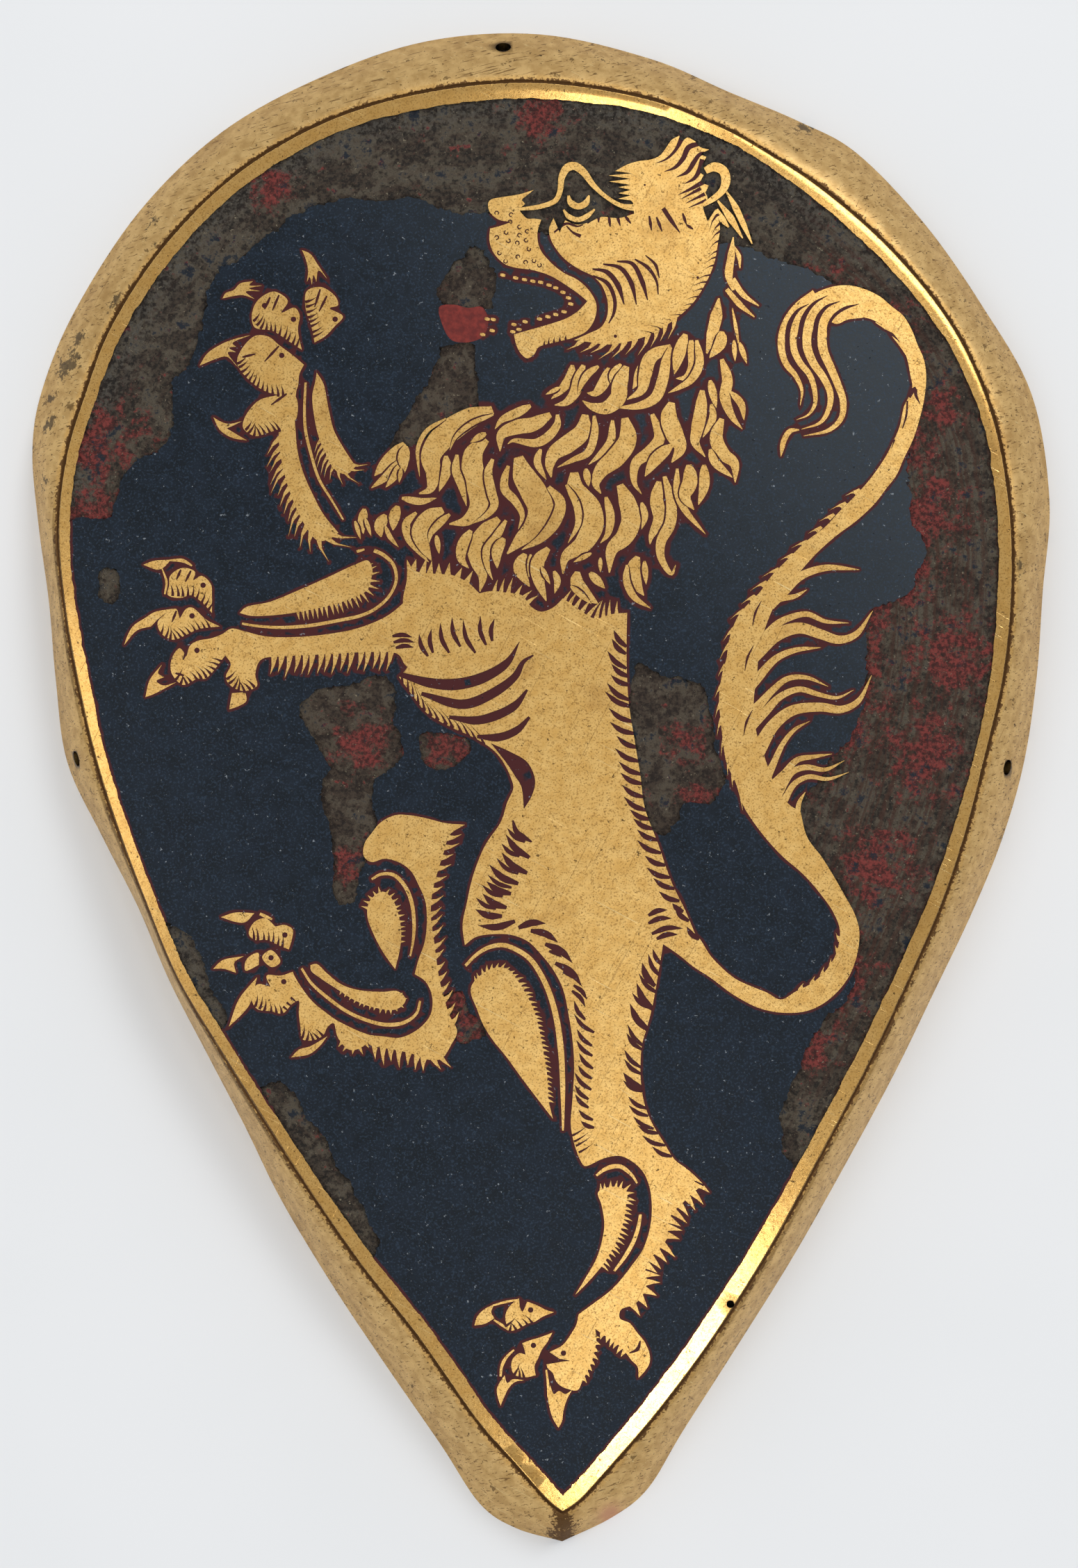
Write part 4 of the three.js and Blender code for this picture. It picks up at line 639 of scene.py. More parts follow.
tail_hairs = [
    (1.2, [(49.4, 88.4), (46.2, 86.2), (43.9, 83), (43.2, 79.5), (44, 76.3), (45.8, 74), (46.9, 71.4),
           (46.6, 68.7)]),
    (1.1, [(50.6, 88), (47, 85), (45.4, 81.6), (45.4, 79.1), (46.5, 76.5), (48.3, 74.2), (49.2, 71.4),
           (49.2, 68.8), (48, 67), (45.9, 66.1)]),
    (1.3, [(52.4, 88), (49.3, 85.2), (47.9, 82.2), (47.9, 79.1), (49, 76.3), (50.8, 73.7), (52, 70.9),
           (51.8, 68.3), (50.3, 65.7), (46.8, 64.4)]),
    (1.3, [(54.4, 87), (51.6, 84.7), (50.5, 81.6), (50.8, 78.6), (52.1, 75.5), (53.4, 72.4), (54.3, 69.6),
           (54, 66.5), (51.8, 64.3), (47.2, 63.2)]),
    (1.3, [(43.6, 35.4), (46.6, 38), (51.1, 39.5), (57.2, 39.2)]),
    (1, [(40.9, 32.5), (42.6, 33.8), (45.6, 34.4), (47.8, 35.6)]),
    (1, [(40.6, 27.5), (42.6, 29.5), (44.3, 30.4), (47.7, 31.2), (51.1, 29.9), (55.3, 29.6)]),
    (1.8, [(38.6, 24.4), (42.2, 27.4), (46.4, 28.7), (50.2, 27.6), (53.6, 26.6), (56.6, 27.6),
           (59.6, 31.8)]),
    (1.2, [(38.8, 19.6), (42.2, 23.2), (45.6, 24.7), (50.3, 25.2)]),
    (1, [(39.4, 15.1), (41.8, 17.7), (44.3, 19.6), (47.7, 19.8), (51.6, 18.2)]),
    (1, [(40.2, 13.6), (43, 16.4), (46.4, 17.7), (49.8, 16.8), (53.2, 16.2), (56.2, 17.6)]),
    (1.7, [(38.8, 6.4), (41.8, 11.3), (45.2, 13.9), (50.2, 14.5), (54, 14.1), (57, 15.6), (59.4, 20.2)]),
    (0.9, [(41.6, 4), (43.5, 8), (45.6, 10.5), (48.3, 12)]),
    (1, [(43.6, 2.4), (46, 5), (49, 5.6), (52.3, 6.1)]),
    (1.1, [(42.4, -1.5), (45.2, 2.9), (47.7, 3.7), (51.1, 3.3), (54.5, 4.9)]),
    (0.9, [(43.5, -2.6), (45.6, 0.8), (48.1, 2), (51.5, 1.6), (55.3, 2.8)]),
    (0.9, [(46, -5.2), (46.4, -2.6), (47.5, -0.7)]),
]
for width, line in tail_hairs:
    (x0, y0), (x1, y1) = line[:2]
    back = 0.9 if y0 < 60 else 0.05
    root = (x0 + back * (x0 - x1), y0 + back * (y0 - y1))
    gild(stroke([root, *line], *(np.array([2, 1.6, 1.25, 1.05, 0.9, 0.6, 0.06]) * width)))
gild(
    fringe([(58, 54.6), (53.6, 50.4), (48.6, 45.4), (42.4, 39.4), (38, 34.4), (34.6, 29.4), (33, 23),
            (32, 16), (32.6, 9), (34.4, 2), (36.6, -3)],
           0.8, 3.3, 3, 1.3, -1),
    stroke([(46.4, 64.3), (44.8, 64.1), (43.7, 62.5), (43.1, 59.5)], 0.2, 0.9, 1, 0.9, 0.1),
    stroke([(53.8, 83.7), (55.6, 84.5), (58.4, 84.6)], 0.1, 0.5, 0.1),
    stroke([(60.2, 83.7), (62, 82.7), (63.8, 81.6)], 0.1, 0.5, 0.1),
    stroke([(63.2, 81.2), (64.6, 79.7), (65.7, 77.8)], 0.1, 0.5, 0.1),
    fringe([(53.6, -26), (52.8, -30.4), (49.8, -34), (45.4, -36.6)], 0.6, 2.2, -1.8, 1, -1),
)
engrave(
    stroke([(48.2, 87), (46.2, 85.8), (44.8, 83.6), (44.3, 81), (44.5, 78.4)], 0.1, 0.6, 0.9, 0.9, 0.8),
    stroke([(51.5, 88.5), (49, 87), (47.3, 84.6), (46.6, 81.4), (46.7, 78.6)], 0.1, 0.6, 0.9, 0.9, 0.8),
    stroke([(53.8, 87.5), (51.4, 86.5), (49.8, 84.4), (49.3, 81.4), (49.4, 78.6)], 0.1, 0.6, 0.9, 0.9, 0.8),
    stroke([(57.2, 87), (54.6, 86.2), (52.7, 84.8), (51.7, 83), (51.6, 81)], 0.1, 0.6, 0.6, 0.5, 0.3),
    stroke([(66.2, 70.2), (67.2, 71.8), (67.5, 70.4), (68.2, 69)], 0.6, 0.8, 0.5, 0.1),
    stroke([(65.9, 69.6), (65.7, 67), (65, 64.6)], 0.3, 0.4, 0.2),
    stroke([(63.6, 62.6), (63, 61)], 0.3, 0.1),
    stroke([(61, 59.4), (60.2, 57.6)], 0.3, 0.1),
    *(stroke([(x, y), (x + 0.5, y + 2.4), (x + 1.6, y + 4.6)], 0.1, 0.45, 0.1)
      for x, y in [(38, 29), (36.6, 21), (36.4, 9.4)]),
)

# Hairs cut into the metal as separate hooks, thick at one end: down the back, on the belly, round the thigh
# and down the leg. Each is two points, bowed to its right as it is walked along.
hooks = [
    (1.0, [
        (13.1, 28.3, 15.4, 25.3), (12.8, 26.7, 15.3, 24), (12, 24.5, 15.4, 21.4), (12.7, 22.2, 15.9, 19.9),
        (12.6, 20.2, 16, 18.4), (11.9, 18.8, 16, 15.7), (11.5, 17.3, 16.5, 14.5), (12.2, 14.3, 16.7, 11.8),
        (12.4, 11.8, 17, 9.7), (13.6, 9.3, 17.5, 7.2), (13.3, 7.1, 17.8, 4.7), (14, 4.7, 18.1, 2.4),
        (14.3, 2.7, 18.3, 0.7), (14.6, 0.5, 18.6, -1.7), (14.9, -1.6, 19.2, -4.1), (16, -3.9, 19.7, -5.7),
        (16.6, -5.5, 20.3, -7.4), (17.3, -7.5, 21, -9.4), (17.3, -9.4, 21.6, -11.7),
        (18.7, -12.2, 22.4, -13.9), (19, -14.3, 23.2, -16.1), (20.2, -16.2, 24, -18.1),
        (21.2, -18.6, 24.9, -20.3), (23.6, -20.7, 25.6, -22.2), (24.1, -21.4, 26.6, -23.9),
        (26.2, -24.9, 28.4, -27.2), (22.7, -21.9, 19.3, -22.9), (23.5, -23.4, 19.3, -24.3),
        (25.5, -25.2, 19.9, -26.2), (24.6, -26.3, 20.8, -27.1),
    ]),
    (1.3, [
        (-6.2, -8.4, -2, -12.5), (-7, -11.6, -2.4, -15.3), (-9.2, -13.8, -4, -17.2),
        (-9.7, -16.8, -5.3, -19), (-10.4, -19, -6.1, -21.5), (-11.7, -21.8, -6.9, -23),
        (-11.2, -24.7, -4.6, -23.9), (0.9, -24.3, -4, -25.1), (3.1, -27.7, -1.8, -25.6),
        (5.7, -31.4, 0.8, -28), (7.4, -35.6, 2.6, -31.4), (17.2, -35, 20.4, -40), (16, -38.7, 19.6, -43.7),
        (18.2, -31.4, 20.5, -35.6), (14.8, -51.1, 18.4, -54),
    ]),
    (0.85, [
        (-6, -7.2, -2.8, -9.7), (-7, -10, -3.8, -12.3), (-7.9, -12.6, -4, -15.4),
        (-9.5, -15.6, -5.2, -17.9), (-10.5, -17.4, -6.8, -19.5), (-11.6, -19.7, -8, -21.7),
        (3.8, -30.4, 1.5, -29.3), (6, -34.3, 4, -33), (8.3, -38, 5.9, -35.4), (8, -39.3, 5.6, -36.4),
        (6, -38.2, 8, -41.6), (6, -40.6, 9.6, -43.9), (6.5, -43.3, 9.2, -46.3), (6.4, -45.3, 9.3, -48.1),
        (6.9, -47.6, 9.4, -50.4), (6.7, -49.8, 9.2, -52.2), (6.1, -51.1, 9.1, -54.2),
        (6.1, -53.3, 8.6, -55.9), (6.2, -55, 8.6, -57.4), (6.8, -57.8, 9.4, -59.6), (7.2, -59.8, 9.6, -61),
        (20.1, -28.9, 21.9, -31.9), (19.3, -29.8, 21.5, -33.9), (17.6, -33.3, 21.1, -36.9),
        (16.4, -36.8, 19.8, -39.6), (15.6, -42.5, 18.5, -46.4), (15.4, -44, 18.2, -47),
        (15, -47, 18, -50.2), (15, -48.7, 18.1, -51.4), (14.8, -52.5, 18.2, -54.5),
        (15.7, -55.4, 19.1, -57.6), (15.8, -57, 19.3, -58.9), (16.6, -59, 20.3, -61.2),
        (17.4, -60.6, 21.2, -62), (18.2, -62.4, 22.4, -64.2), (20, -64.4, 23.6, -66.2),
        (-18, 29.6, -16.4, 24.2), (-13.9, 30.1, -11.7, 24.2), (-21.8, 27.6, -20.2, 23.6),
        (-19.6, 28.5, -19.3, 24.2), (-10.8, 30.8, -9.8, 25.6), (-8.3, 30.3, -8.7, 26.3),
        (-15.9, 30.6, -14.4, 25.3), (-23, 27, -26.6, 27.2), (-22.6, 26.1, -26.4, 26.1),
        (-22.8, 25.2, -26, 25.1),
    ]),
]
BOW = 0.1  # of the hook's length
for width, group in hooks:
    for x0, y0, x1, y1 in group:
        bow = ((x0 + x1) / 2 + BOW * (y1 - y0), (y0 + y1) / 2 - BOW * (x1 - x0))
        engrave(stroke([(x0, y0), bow, (x1, y1)], 0.06, 0.9 * width, width, 0.5 * width))

# The turned-back rim goes round the shield: the edge of the field, the fillet beside it, a line cut
# beyond the fillet, then the metal rolls down and out to its foot. Stations run clockwise from the point,
# each with the field's edge, the foot's outer edge and the fillet's width.
RIM_STATIONS = np.array([
    (4, -127.4, 3.9, -136, 3.2), (1.5, -124.5, -4.5, -133.6, 3), (-3, -119.5, -11, -129.2, 2.8),
    (-9.5, -112, -18, -118.6, 2.8), (-20, -97, -28.5, -103.4, 2.8), (-30, -84.5, -37.8, -89.4, 2.7),
    (-39.5, -71, -46.8, -74.4, 2.6), (-47.5, -59, -53.4, -61, 2.4), (-55.6, -46.4, -60.4, -47.6, 2.3),
    (-63.5, -33.2, -67, -34.8, 2.2), (-69.1, -20, -72.6, -21.6, 2.1), (-74, -7, -79, -9, 2.1),
    (-78.2, 6, -85.4, 4.6, 2), (-81.2, 20, -87.5, 19.6, 2.3), (-83.6, 33, -88.7, 33.4, 2.2),
    (-84.7, 46, -90.6, 47.4, 2.2), (-83.4, 58.6, -91.7, 61, 2.2), (-80, 70, -89.9, 72, 2.3),
    (-74.8, 82.6, -83.9, 86.4, 2.6), (-65, 97, -72.3, 104.2, 2.7), (-52, 109.3, -57.5, 118.4, 2.8),
    (-36, 118.1, -39.6, 128.3, 2.9), (-18, 122.8, -20.4, 134.8, 3.1), (0, 124, 0, 136, 3.2),
    (18, 121.8, 19.8, 131.6, 2.6), (30, 117.8, 34, 125.6, 2.1), (38, 113.8, 46.6, 120.3, 2.1),
    (50, 105.3, 57, 114.6, 2.5), (62, 94.3, 69.2, 101.9, 2.7), (72.7, 81, 79.8, 86.8, 2.4),
    (79.4, 66, 88.6, 71, 2.2), (82, 50, 91.8, 52, 2.5), (82.1, 34.5, 90.6, 35.6, 2.8),
    (80.8, 20, 89.5, 20, 2.5), (78, 6.2, 87.2, 4.6, 2), (74.2, -7, 83.2, -9.4, 2.5),
    (69.6, -20.2, 77.6, -23, 2.7), (63.7, -33.5, 71, -36.8, 2.8), (56.8, -47.7, 64, -51.2, 3),
    (48.5, -63.5, 55.4, -67.2, 3), (38.4, -81.4, 45.2, -85.2, 3.4), (28, -97.6, 34.8, -101.8, 3.5),
    (18.4, -110.6, 25.6, -116.2, 3.4), (11, -119.6, 19.4, -126.4, 3.1), (6.6, -124.6, 13, -131.6, 3.1),
])
SPOKES = 360
RIM_ROLL = [(0, 0), (0.3, 0.13), (0.62, 0.42), (1, 1)]  # share of the rim's width, and of its drop
GROOVE_DEPTH = 0.4
FILLET_SHARE = 0.84  # of the station's width is flat; the rest rolls into the line


def around_rim(count):
    """A uniform Catmull-Rom through the stations, in count steps, with a corner at the shield's point."""
    places = np.arange(count) * len(RIM_STATIONS) / count
    first, last = RIM_STATIONS[:1], RIM_STATIONS[-1:]
    row = np.vstack([2 * first - RIM_STATIONS[1:2], RIM_STATIONS, first, 2 * first - last])
    piece = places.astype(int)
    u = (places - piece)[:, None]
    a, b, c, d = (row[piece + k] for k in range(4))
    return 0.5 * (2 * b + (c - a) * u + (2 * a - 5 * b + 4 * c - d) * u**2 + (3 * b - a - 3 * c + d) * u**3)


def rim_lines(count):
    """Edge of the field, outward direction, bend and foot, at evenly spread places round the rim."""
    row = around_rim(count)
    edge, foot, fillet = row[:, :2], row[:, 2:4], row[:, 4:]
    outward = (foot - edge) / np.linalg.norm(foot - edge, axis=1)[:, None]
    return edge, outward, edge + outward * fillet * FILLET_SHARE, foot


edge_of_field, outward, bend, foot = rim_lines(SPOKES)
wiggle_rng = np.random.default_rng(5)


def ragged(polygon, amount):
    """Each point moves by a random amount, half of it shared with its neighbours over about 2 mm."""
    fine = wiggle_rng.normal(0, amount, polygon.shape)
    coarse = wiggle_rng.normal(0, amount * 1.6, polygon.shape)
    coarse = sum(np.roll(coarse, k, axis=0) for k in range(-2, 3)) / 5**0.5
    return polygon + 0.5 * fine + 0.7 * coarse


def kept_inside(polygon):
    """Points beyond the middle of the fillet are drawn in to it, towards the middle of the shield."""
    limit = (edge_of_field + bend) / 2
    order = np.argsort(np.arctan2(limit[:, 1], limit[:, 0]))
    angle, reach = np.arctan2(*limit[order].T[::-1]), np.linalg.norm(limit[order], axis=1)
    far = np.linalg.norm(polygon, axis=1)
    most = np.interp(np.arctan2(polygon[:, 1], polygon[:, 0]), angle, reach, period=2 * np.pi)
    return polygon * np.minimum(1, most / np.maximum(far, 1e-6))[:, None]


LOSS_WIGGLE, FIELD_WIGGLE, FIELD_POINTS = 0.22, 0.05, 1600
shapes = [(kind, kept_inside(ragged(p, LOSS_WIGGLE)) if kind == LOSS else p) for kind, p in shapes]
shapes.insert(0, (FIELD, ragged(rim_lines(FIELD_POINTS)[0], FIELD_WIGGLE)))


def covers(polygon, points):
    """Which points the polygon winds round, counting the edges that pass to the right of each."""
    a, b = polygon, np.roll(polygon, -1, axis=0)
    turns = np.zeros(len(points), int)
    for start in range(0, len(points), 4000):
        x, y = points[start : start + 4000, :1], points[start : start + 4000, 1:]
        side = (b[:, 0] - a[:, 0]) * (y - a[:, 1]) - (x - a[:, 0]) * (b[:, 1] - a[:, 1])
        up = (a[:, 1] <= y) & (b[:, 1] > y) & (side > 0)
        down = (a[:, 1] > y) & (b[:, 1] <= y) & (side < 0)
        turns[start : start + 4000] = up.sum(axis=1) - down.sum(axis=1)
    return turns != 0


def kind_at(points):
    """What the pile of shapes shows at each point. A line shows only on gold, a loss only in the field."""
    kind = np.full(len(points), GOLD)
    for what, polygon in shapes:
        near = np.flatnonzero(((points > polygon.min(axis=0)) & (points < polygon.max(axis=0))).all(axis=1))
        inside = near[covers(polygon, points[near])]
        if what == LINE:
            inside = inside[kind[inside] == GOLD]
        elif what == LOSS:
            inside = inside[kind[inside] == FIELD]
        elif what == RED:
            inside = inside[kind[inside] != GOLD]
        kind[inside] = what
    return kind


def nearest(points, targets, reach):
    """Distance from each point to its nearest target, square by square, or reach if none is as near."""
    gap = np.full(len(points), float(reach))
    size = 4.0 * reach
    cell = np.floor(points / size).astype(int)
    for square in np.unique(cell, axis=0):
        here = np.flatnonzero((cell == square).all(axis=1))
        near = ((targets >= square * size - reach) & (targets <= (square + 1) * size + reach)).all(axis=1)
        if near.any():
            away = np.linalg.norm(points[here, None] - targets[None, near], axis=2).min(axis=1)
            gap[here] = np.minimum(gap[here], away)
    return gap


def grid_points(spacing):
    """A square grid over the whole field, each point moved by up to a third of the spacing."""
    x, y = np.meshgrid(np.arange(-90, 91, spacing), np.arange(-134, 135, spacing))
    grid = np.column_stack([x.ravel(), y.ravel()])
    return grid + wiggle_rng.uniform(-spacing / 3, spacing / 3, grid.shape)


# The whole face is cut into triangles along every drawn line, with a fine grid where the floor of a loss is
# rough and beside the metal, and a coarse one elsewhere
FINE_SPACING, COARSE_SPACING, REACH = 0.95, 4, 3.0
CLEAR_OF_LINES, BESIDE_METAL, CLEAR_OF_POINTS = 0.4, 2.4, 0.8
SAME_POINT, NO_AREA = 1e-3, 1e-7
line_points = np.vstack([polygon for kind, polygon in shapes if kind == LINE])
line_points = line_points[np.isin(kind_at(line_points), (GOLD, LINE))]
metal_edges = np.vstack([line_points] + [polygon for kind, polygon in shapes if kind in (FIELD, GOLD)])
drawn_points = np.vstack([bend] + [polygon for _, polygon in shapes])
fine, coarse = grid_points(FINE_SPACING), grid_points(COARSE_SPACING)
fine = fine[covers(bend, fine)]
fine_kind, clear = kind_at(fine), nearest(fine, drawn_points, REACH)
beside_metal = (fine_kind == FIELD) & (nearest(fine, metal_edges, REACH) < BESIDE_METAL)
fine = fine[(clear > CLEAR_OF_LINES) & ((fine_kind == LOSS) | beside_metal)]
coarse = coarse[covers(bend, coarse)]
coarse = coarse[nearest(coarse, np.vstack([drawn_points, fine]), REACH) > CLEAR_OF_POINTS]

loops = [bend] + [polygon for _, polygon in shapes]
starts = np.cumsum([0] + [len(loop) for loop in loops])
ties = np.vstack([
    np.column_stack([np.arange(len(loop)), np.roll(np.arange(len(loop)), -1)]) + start
    for loop, start in zip(loops, starts)
])
given = np.vstack(loops + [fine, coarse])
given = [Vector(point) for point in given.tolist()]
found, _, cells, *_ = delaunay_2d_cdt(given, ties.tolist(), [], 0, SAME_POINT, False)
flat = np.array([tuple(p) for p in found])
cells = np.array(cells)
cross = np.cross(flat[cells[:, 1]] - flat[cells[:, 0]], flat[cells[:, 2]] - flat[cells[:, 0]])
cells, cross = cells[np.abs(cross) > NO_AREA], cross[np.abs(cross) > NO_AREA]
cells[cross < 0] = cells[cross < 0][:, ::-1]
middles = flat[cells].mean(axis=1)
inside = covers(bend, middles)
cells, middles = cells[inside], middles[inside]
cell_kind = kind_at(middles)
face = face_height(flat[:, 0], flat[:, 1])
to_metal = nearest(flat, metal_edges, REACH)


def directed_edges(triangles):
    """Each triangle's three edges, running the way that it goes round."""
    return np.vstack([triangles[:, [0, 1]], triangles[:, [1, 2]], triangles[:, [2, 0]]])


def open_edges(triangles, count):
    """Edges that only one triangle has, running the way that it goes round."""
    run = directed_edges(triangles).astype(np.int64)
    return run[~np.isin(run[:, 0] * count + run[:, 1], run[:, 1] * count + run[:, 0])]


MM = 0.001


def solid(name, points, triangles, quads, materials, sharp=35):
    """A mesh object from points in millimetres. Edges sharper than the given angle stay crisp."""
    mesh = bpy.data.meshes.new(name)
    corners = np.concatenate([np.ravel(triangles), np.ravel(quads)]).astype(np.int32)
    sizes = np.repeat([3, 4], [len(triangles), len(quads)])
    mesh.vertices.add(len(points))
    mesh.vertices.foreach_set("co", (points * MM).ravel())
    mesh.loops.add(len(corners))
    mesh.loops.foreach_set("vertex_index", corners)
    mesh.polygons.add(len(sizes))
    mesh.polygons.foreach_set("loop_start", np.concatenate([[0], np.cumsum(sizes)[:-1]]).astype(np.int32))
    mesh.update(calc_edges=True)
    mesh.validate()
    for material in materials:
        mesh.materials.append(material)
    piece = bpy.data.objects.new(name, mesh)
    bpy.context.scene.collection.objects.link(piece)
    mesh.shade_smooth()
    mesh.set_sharp_from_angle(angle=math.radians(sharp))
    return piece


def give(piece, name, values):
    """A number for each vertex, which a material can read."""
    numbers = piece.data.attributes.new(name, "FLOAT", "POINT")
    numbers.data.foreach_set("value", np.asarray(values, np.float32))


def linear(hex_code):
    """An sRGB colour such as #d2a95a, turned linear."""
    share = np.array([int(hex_code[i : i + 2], 16) for i in (1, 3, 5)]) / 255
    share = np.where(share <= 0.04045, share / 12.92, ((share + 0.055) / 1.055) ** 2.4)
    return (*share.tolist(), 1.0)


def add(tree, kind, inputs=None, **settings):
    """One shader node with its settings and links. An input is either a value or the output that feeds it."""
    made = tree.nodes.new("ShaderNode" + kind)
    for key, value in settings.items():
        setattr(made, key, value)
    for key, value in (inputs or {}).items():
        if isinstance(value, bpy.types.NodeSocket):
            tree.links.new(value, made.inputs[key])
        else:
            made.inputs[key].default_value = value
    return made


def material(name, **shader):
    """A new material with its Principled shader's fixed values, and its object coordinates."""
    made = bpy.data.materials.new(name)
    made.use_nodes = True
    tree = made.node_tree
    tree.nodes.clear()
    body = add(tree, "BsdfPrincipled", {key.replace("_", " "): value for key, value in shader.items()})
    output = add(tree, "OutputMaterial")
    tree.links.new(body.outputs[0], output.inputs[0])
    return made, tree, body, add(tree, "TexCoord").outputs["Object"]


def mottle(tree, where, size_mm, detail, roughness, low=None, high=None, turn=0.0, stretch=None):
    """Cloudy blobs about size_mm wide, drawn out along a turned axis if asked. Between two levels, if given,
    they go smoothly from nothing to full."""
    if stretch:
        drawn_out = {"Vector": where, "Rotation": (0, 0, turn), "Scale": stretch}
        where = add(tree, "Mapping", drawn_out, vector_type="TEXTURE").outputs[0]
    blobs = {"Vector": where, "Scale": 1 / (size_mm * MM), "Detail": detail, "Roughness": roughness}
    cloud = add(tree, "TexNoise", blobs).outputs[0]
    if low is None:
        return cloud
    levels = {"Value": cloud, "From Min": low, "From Max": high}
    return add(tree, "MapRange", levels, interpolation_type="SMOOTHSTEP").outputs[0]


def tint(tree, tone, colour, *shares):
    """Lays a colour over the tone as far as the product of the shares goes. A share is a value, or one
    with two levels, and then counts smoothly from 0 at the first level to 1 at the second."""
    whole = 1.0
    for share in shares:
        if isinstance(share, tuple):
            levels = {"Value": share[0], "From Min": share[1], "From Max": share[2]}
            share = add(tree, "MapRange", levels, interpolation_type="SMOOTHSTEP").outputs[0]
        whole = add(tree, "Math", {0: whole, 1: share}, operation="MULTIPLY").outputs[0]
    under, over = (linear(each) if isinstance(each, str) else each for each in (tone, colour))
    return add(tree, "Mix", {0: whole, 6: under, 7: over}, data_type="RGBA").outputs[2]


def total(tree, start, *parts):
    """The start plus each part times its weight."""
    for part, weight in parts:
        start = add(tree, "Math", {0: part, 1: weight, 2: start}, operation="MULTIPLY_ADD").outputs[0]
    return start


def finish(tree, body, tone, height, depth_mm, rough=None):
    """Gives the shader its colour, its small relief at its real depth, and its roughness if it varies."""
    bump = add(tree, "Bump", {"Height": height, "Distance": depth_mm * MM, "Strength": 1.0})
    tree.links.new(bump.outputs[0], body.inputs["Normal"])
    tree.links.new(tone, body.inputs["Base Color"])
    if rough is not None:
        tree.links.new(rough, body.inputs["Roughness"])


# Fire-gilded copper: warm yellow and softly shiny on the lion and the fillet, with fine dark pits and
# scratches. On the rim it is thinner and duller, rubbed brown in patches, and dark dirt sits in the line
# beside the fillet.
gilding, tree, body, where = material("fire_gilded_copper", Metallic=1.0)
PLATE_NUMBERS = ("on_rim", "in_groove", "on_fillet", "rubbed", "smudge")
on_rim, in_groove, on_fillet, rubbed, smudge = (
    add(tree, "Attribute", attribute_name=name).outputs["Fac"] for name in PLATE_NUMBERS
)
patches, cloud = mottle(tree, where, 14, 5, 0.6), mottle(tree, where, 2.2, 4, 0.6)
grain, fine_grain = mottle(tree, where, 0.5, 3, 0.6), mottle(tree, where, 0.32, 2, 0.5, 0.5, 0.68)
pits = mottle(tree, where, 0.9, 4, 0.7, 0.64, 0.67)
spots = mottle(tree, where, 2.6, 4, 0.7, 0.635, 0.665)
dark_scratches = mottle(tree, where, 1.0, 1, 0.4, 0.72, 0.76, turn=1.1, stretch=(30, 0.3, 1))
bright_scratches = mottle(tree, where, 1.0, 1, 0.4, 0.72, 0.76, turn=-0.5, stretch=(16, 0.3, 1))
rim_scratches = mottle(tree, where, 1.0, 3, 0.6, 0.6, 0.64, turn=0.25, stretch=(5, 0.3, 1))
rim_tone = tint(tree, "#bf9b63", "#dbb87c", (cloud, 0.3, 0.7))
rim_tone = tint(tree, rim_tone, "#a8834f", (patches, 0.56, 0.72), 0.5)
tone = tint(tree, "#cba05a", "#d9b26d", (cloud, 0.3, 0.7))
tone = tint(tree, tone, "#b0864a", (patches, 0.56, 0.72), 0.6)
tone = tint(tree, tone, "#8c6836", fine_grain, 0.7)
tone = tint(tree, tone, rim_tone, on_rim)
tone = tint(tree, tone, "#8f6a3a", dark_scratches, 0.4)
tone = tint(tree, tone, "#ecd59c", bright_scratches, 0.5)
tone = tint(tree, tone, "#b88a48", on_fillet, 0.35)
tone = tint(tree, tone, "#6a4c2c", rim_scratches, on_rim, 0.75)
tone = tint(tree, tone, "#3c291a", pits, 0.85)
tone = tint(tree, tone, "#5e4527", spots, on_rim, 0.7)
ragged_smudge = total(tree, -1.3, (smudge, 1.0), (mottle(tree, where, 1.2, 4, 0.7), 2.6))
tone = tint(tree, tone, "#4c4033", (ragged_smudge, 0.55, 0.75), (smudge, 0.05, 0.3), on_rim, 0.8)
tone = tint(tree, tone, "#c9926f", rubbed, 0.8)
# Painted shade: steep faces of the metal away from the rim, the walls beside the hollows, are tinted dark
# brown
normal = add(tree, "NewGeometry").outputs["Normal"]
upward = add(tree, "SeparateXYZ", {"Vector": normal}).outputs[2]
tone = tint(tree, tone, "#33231a", (upward, 0.85, 0.5), total(tree, 1.0, (on_rim, -1.0)))
dirt = total(tree, -1.6, (in_groove, 1.0), (grain, 1.6), (cloud, 1.6))
tone = tint(tree, tone, "#5a3c24", (dirt, 0.45, 0.65), 0.9)
rough = total(tree, 0.3, (grain, 0.14), (on_rim, 0.12), (on_fillet, -0.2), (in_groove, 0.3))
scratched = {0: dark_scratches, 1: bright_scratches}
scratched = add(tree, "Math", scratched, operation="MAXIMUM").outputs[0]
marked = add(tree, "Math", {0: pits, 1: scratched}, operation="MAXIMUM").outputs[0]
uneven, evened_by = total(tree, cloud, (grain, 0.25)), total(tree, 1.0, (on_fillet, -0.8))
finish(tree, body, tone, total(tree, 0.0, (uneven, evened_by), (marked, -0.4)), 0.06, rough)

# Bare copper of the back: never gilded, brown with darker and a few green-grey patches, dull
bare_copper, tree, body, where = material("brown_copper", Metallic=0.85)
patches, grain = mottle(tree, where, 18, 5, 0.65), mottle(tree, where, 1.5, 4, 0.6)
tone = tint(tree, "#5e3f2c", "#8a5a3c", (patches, 0.35, 0.65))
tone = tint(tree, tone, "#5d6a58", mottle(tree, where, 9, 4, 0.6, 0.6, 0.72))
tone = tint(tree, tone, "#3a2a20", (grain, 0.55, 0.7))
finish(tree, body, tone, total(tree, grain, (patches, 2.0)), 0.15, total(tree, 0.4, (grain, 0.22)))


HAMMER_DEPTH = 0.12


